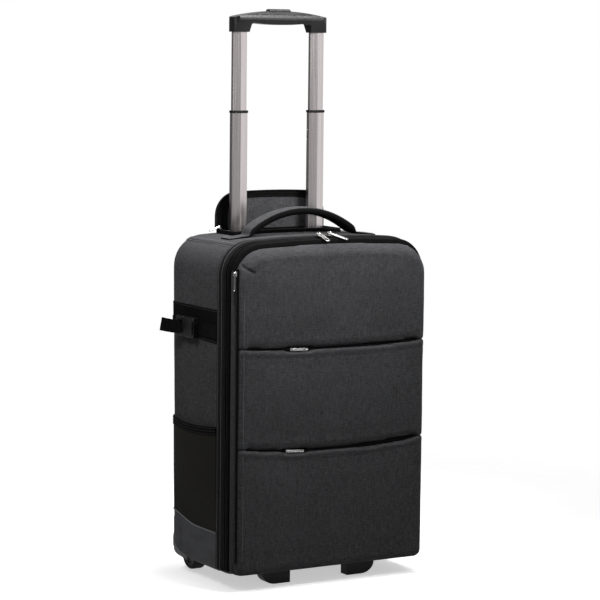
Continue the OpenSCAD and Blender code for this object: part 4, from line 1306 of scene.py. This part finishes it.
# Side straps
# Black polyester webbing on a wide reinforcing band, closed by a side-release buckle with a free tail.
# The band is sewn flat on the side and runs into the rear seam; the tail ends in a folded, stitched tip.
patch_low, patch_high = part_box("strap_patches")
web_low, web_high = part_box("side_straps")
socket_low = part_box("buckle_sockets")[0]
clip_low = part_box("right_buckle_clip")[0]
web_mid = (web_low.z + web_high.z) / 2
web_half = (web_high.z - web_low.z) / 2
webbing = ribbed("black_webbing", (0.0015, 0.0015, 0.0015), (0.0055, 0.0055, 0.006), 1.6 * mm, rough=0.7)
band_runs = spread(guard_front - parting, 205 * mm, 50)
band_taper = 7 * mm / (band_runs[-1] - band_runs[0])
band_lift = 0.9 * mm


def band_foot(run):
    """Lower edge of a band, which narrows towards the rear."""
    return patch_low.z + band_taper * (run - band_runs[0])


bands = add_piece("strap_bands", *join_sides(lambda side: skin_sheet(
    side, band_runs, band_foot, lambda run: patch_high.z, 8, band_lift, guard_t)), black_tape)
fix(bands, "case", "strap_patches")


def strap_piece(side, start, end):
    """Webbing between two places along the side, with a slightly raised edge weave."""
    runs = spread(start - parting, end - parting, 24)
    section = both_halves([(-web_half, 0), (-web_half, 1.3 * mm), (1 * mm - web_half, 1.5 * mm),
                           (2 * mm - web_half, 1.3 * mm)])
    return skin_strip(side, runs, lambda run: web_mid, band_lift, section)


def both_straps(side):
    """Webbing in front of the buckle and behind it."""
    front = strap_piece(side, guard_front, socket_low.y + 3 * mm)
    rear = strap_piece(side, clip_low.y + 25 * mm, parting + 204 * mm)
    return joined([front, rear])


def skin_stitches(side, route):
    """Stations of the stitches along a route on the side of the body."""
    return [(place, way, body_skin(side, place.y - parting, place.z, 0.0)[1])
            for place, way in walk(route, stitch_pitch)]


straps = add_piece("side_webbing", *join_sides(both_straps), webbing)
fix(straps, "case", "side_straps")
band_stitches = []
for side in (-1, 1):
    for edge, inward in ((band_foot, 2.5 * mm), (lambda run: patch_high.z, -2.5 * mm)):
        route = [body_skin(side, run, edge(run) + inward, 0.95 * mm)[0] for run in band_runs]
        band_stitches += skin_stitches(side, route)
scatter("band_stitches", grain(2.4 * mm, 0.35 * mm), band_stitches, dark_thread, "case")
buckle_gloss = moulded("buckle_gloss", (0.004, 0.004, 0.0042), (0.009, 0.009, 0.0095),
                       rough=0.28, specular=0.5)
for node in ("buckle_sockets", "left_buckle_clip", "right_buckle_clip"):
    dress(node, buckle_gloss, 1.0 * mm)


def tail(side):
    """Loose end of the strap: out of the clip, then away from the side in a slow bend."""
    low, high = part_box("right_strap_tail")
    start = Vector((low.x + 0.7 * mm, low.y, web_mid))
    knee = Vector((low.x + 0.9 * mm, low.y + 12 * mm, web_mid))
    end = Vector((high.x - 1.0 * mm, high.y - 1.0 * mm, web_mid + 1.5 * mm))
    route = []
    for t in spread(0.0, 1.0, 24):
        place = start * (1 - t) ** 2 + knee * 2 * t * (1 - t) + end * t * t
        place.z -= 2.0 * mm * math.sin(math.pi * t)
        place.x *= side
        route.append(place)
    ways = [after - before for before, after in zip(route[:1] + route[:-1], route[1:] + route[-1:])]
    outs = [Vector((way.y, -way.x, 0)).normalized() * side for way in ways]

    def ring(share):
        """Single webbing, doubled where its tip is folded back."""
        thick = 0.65 * mm if share < 0.72 else 1.25 * mm
        half = web_half - 0.2 * mm
        return both_halves([(-half, -thick), (-half, thick)])

    return sweep(route, outs, ring)


for side, name in ((-1, "left"), (1, "right")):
    strap_tail = add_piece(name + "_tail", *tail(side), webbing, sharp=30)
    fix(strap_tail, name + "_clip", name + "_strap_tail")

# Bottle pockets
# Flat pockets of fine black mesh on both sides, sewn down at the foot and the edges and slack at the top.
# An elastic hem with three rows of stitches gathers the upper edge.
mesh_low, mesh_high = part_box("mesh_pockets")
hem_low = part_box("pocket_hems")[0]
bulge = mesh_high.x - half_w
mesh_front = guard_front - parting
mesh_rear = 203 * mm
mesh_runs = spread(mesh_front, mesh_rear, 56)
hem_w = 14 * mm
hem_rows = (2.4 * mm, 7.0 * mm, 11.6 * mm)

black_mesh, mesh_tree, mesh_shader, mesh_place = new_material("black_mesh", 0.9, 0.05)
mesh_cells = put(mesh_tree, "TexVoronoi", {"feature": "DISTANCE_TO_EDGE"}, Vector=mesh_place, Scale=640.0)
holes = mesh_cells.outputs[0]
tint(mesh_tree, mesh_shader, holes, (0.018, 0.0175, 0.016), (0.009, 0.0088, 0.008), 0.02, 0.3)
dent(mesh_tree, mesh_shader, holes, 0.6, 0.4 * mm)


def slack(run, z):
    """How far the pocket stands off the side: most in the middle, least at the foot and the edges."""
    middle = (mesh_low.y + mesh_high.y) / 2 - parting
    across = max(0.0, 1 - ((run - middle) / (0.5 * (mesh_high.y - mesh_low.y))) ** 2)
    up = float(ease(z, mesh_low.z - 8 * mm, mesh_low.z + 110 * mm))
    return 1.3 * mm + (bulge - 2 * mm) * across * up


def hem_line(run):
    """Upper edge of the mesh: slack, so it dips a little in the middle."""
    share = (run - mesh_front) / (mesh_rear - mesh_front)
    return hem_low.z - 5 * mm * math.sin(math.pi * min(max(share, 0.0), 1.0))


def hem_puff(run, z, share):
    """How far the hem stands off the side: puffed between its rows of stitches and pleated by its elastic."""
    puff = 0.5 * math.sin(share * 6 * math.pi) ** 2
    pleat = 0.25 * math.sin(run / mm * 0.9)
    return slack(run, z) + (0.6 + puff + pleat) * mm


for side, name in ((-1, "left"), (1, "right")):
    net = add_piece(name + "_pocket_net", *skin_sheet(
        side, mesh_runs, lambda run: guard_edge(run) - 1 * mm, hem_line, 24,
        lambda run, z, share: slack(run, z), 0.8 * mm), black_mesh)
    fix(net, "case", "mesh_pockets")
    hem = add_piece(name + "_pocket_hem", *skin_sheet(
        side, mesh_runs, hem_line, lambda run: hem_line(run) + hem_w, 12, hem_puff, 1.6 * mm),
        black_tape, sharp=70)
    fix(hem, "case", "pocket_hems")
    rows = []
    for height in hem_rows:
        rows += skin_stitches(side, [
            body_skin(side, run, hem_line(run) + height, slack(run, hem_line(run)) + 1.0 * mm)[0]
            for run in mesh_runs])
    scatter(name + "_hem_stitches", grain(2.4 * mm, 0.35 * mm), rows, dark_thread, "case")

# Studio
# A plain pale floor under three round lamps: in front at the right, at the left, and overhead.
# The camera stands where the photograph was taken, and the background is white.
scene = bpy.context.scene
scene.view_settings.view_transform = "Standard"

floor_half = 2.0
floor = add_piece("studio_floor", [(-floor_half, -floor_half, 0), (floor_half, -floor_half, 0),
                                   (floor_half, floor_half, 0), (-floor_half, floor_half, 0)], [(0, 1, 2, 3)])
floor_paint, floor_tree, floor_shader, floor_place = new_material("pale_floor", 0.9, 0.05)
floor_spot = speckle(floor_tree, floor_place, 3.0)
tint(floor_tree, floor_shader, floor_spot, (0.86, 0.86, 0.86), (0.88, 0.88, 0.88), 0.3, 0.7)

# The floor fades into the white room with distance, and throws less light on the case than the camera sees.
far = put(floor_tree, "VectorMath", {"operation": "LENGTH"}, (floor_place,)).outputs["Value"]
soft_fade = {"interpolation_type": "SMOOTHSTEP"}
fade = put(floor_tree, "MapRange", soft_fade, (far, 0.45, 1.3, 0.0, 1.0)).outputs[0]
rays = put(floor_tree, "LightPath").outputs
straight = maths(floor_tree, "MAXIMUM", rays["Is Camera Ray"], rays["Is Glossy Ray"])
straight = maths(floor_tree, "MAXIMUM", straight, rays["Is Transmission Ray"])
glow = put(floor_tree, "Emission", Strength=0.5)
lit = put(floor_tree, "AddShader", inputs=(floor_shader.outputs[0], glow.outputs[0]))
dull = put(floor_tree, "BsdfDiffuse", Color=(0.3, 0.3, 0.3, 1))
ground_shade = put(floor_tree, "MixShader", inputs=(straight, dull.outputs[0], lit.outputs[0]))
clear = put(floor_tree, "BsdfTransparent")
whole = put(floor_tree, "MixShader", inputs=(fade, ground_shade.outputs[0], clear.outputs[0]))
floor_tree.links.new(whole.outputs[0], floor_tree.nodes["Material Output"].inputs["Surface"])
floor.data.materials.append(floor_paint)


def softbox(name, place, aim, size, watts, spread_angle):
    """Round lamp behind a grid, which keeps its light within an angle."""
    lamp = bpy.data.lights.new(name, "AREA")
    lamp.shape = "DISK"
    lamp.size = size
    lamp.spread = math.radians(spread_angle)
    lamp.energy = watts
    holder = bpy.data.objects.new(name, lamp)
    scene.collection.objects.link(holder)
    holder.location = place
    holder.rotation_mode = "QUATERNION"
    holder.rotation_quaternion = (Vector(aim) - Vector(place)).to_track_quat("-Z", "Y")


softbox("key_lamp", (0.30, -0.75, 1.35), (0.0, -0.1, 0.80), size=0.5, watts=3.6, spread_angle=62)
softbox("fill_lamp", (-0.9, -0.2, 1.3), (-0.1, 0.0, 0.75), size=0.5, watts=2.2, spread_angle=70)
softbox("top_lamp", (0.1, -0.1, 1.9), (0.0, 0.0, 0.56), size=0.6, watts=3.2, spread_angle=60)

# The room is white to the camera, dimmer on the case, and bright in its metal only from the right and above.
ambient = 0.34
world = bpy.data.worlds.new("studio_white")
scene.world = world
world.use_nodes = True
sky = world.node_tree
backdrop = sky.nodes["Background"]
rays = put(sky, "LightPath").outputs
heading = put(sky, "SeparateXYZ", Vector=put(sky, "TexCoord").outputs["Generated"]).outputs
bright_right = ramp(sky, heading["X"], -0.35, 0.45, 0.12, 1.0)
bright_above = ramp(sky, heading["Z"], 0.3, 0.8, 0.12, 1.0)
room_side = maths(sky, "MAXIMUM", bright_right, bright_above)
mirrored = maths(sky, "MULTIPLY", rays["Is Glossy Ray"], room_side)
seen = maths(sky, "MAXIMUM", rays["Is Camera Ray"], mirrored)
seen = maths(sky, "MAXIMUM", seen, rays["Is Transmission Ray"])
matt = maths(sky, "SUBTRACT", 1.0, rays["Is Glossy Ray"])
soft = maths(sky, "MULTIPLY", matt, ambient)
level = maths(sky, "MAXIMUM", seen, soft)
sky.links.new(level, backdrop.inputs["Strength"])
backdrop.inputs["Color"].default_value = (1, 1, 1, 1)

camera_data = bpy.data.cameras.new("photo_camera")
camera_data.lens = 144
camera_data.sensor_width = 36
camera_data.clip_end = 40
camera = bpy.data.objects.new("photo_camera", camera_data)
scene.collection.objects.link(camera)
pan, tilt, roll = (math.radians(a) for a in (30.401, 6.157, 0.629))
sight = Vector((math.sin(pan) * math.cos(tilt), math.cos(pan) * math.cos(tilt), -math.sin(tilt)))
level_right = Vector((math.cos(pan), -math.sin(pan), 0))
level_up = level_right.cross(sight)
right = level_right * math.cos(roll) + level_up * math.sin(roll)
up = level_up * math.cos(roll) - level_right * math.sin(roll)
eye = Vector((-1979.5, -3378.6, 873.05)) * mm
camera.matrix_world = Matrix.Translation(eye) @ Matrix((right, up, -sight)).transposed().to_4x4()
scene.camera = camera
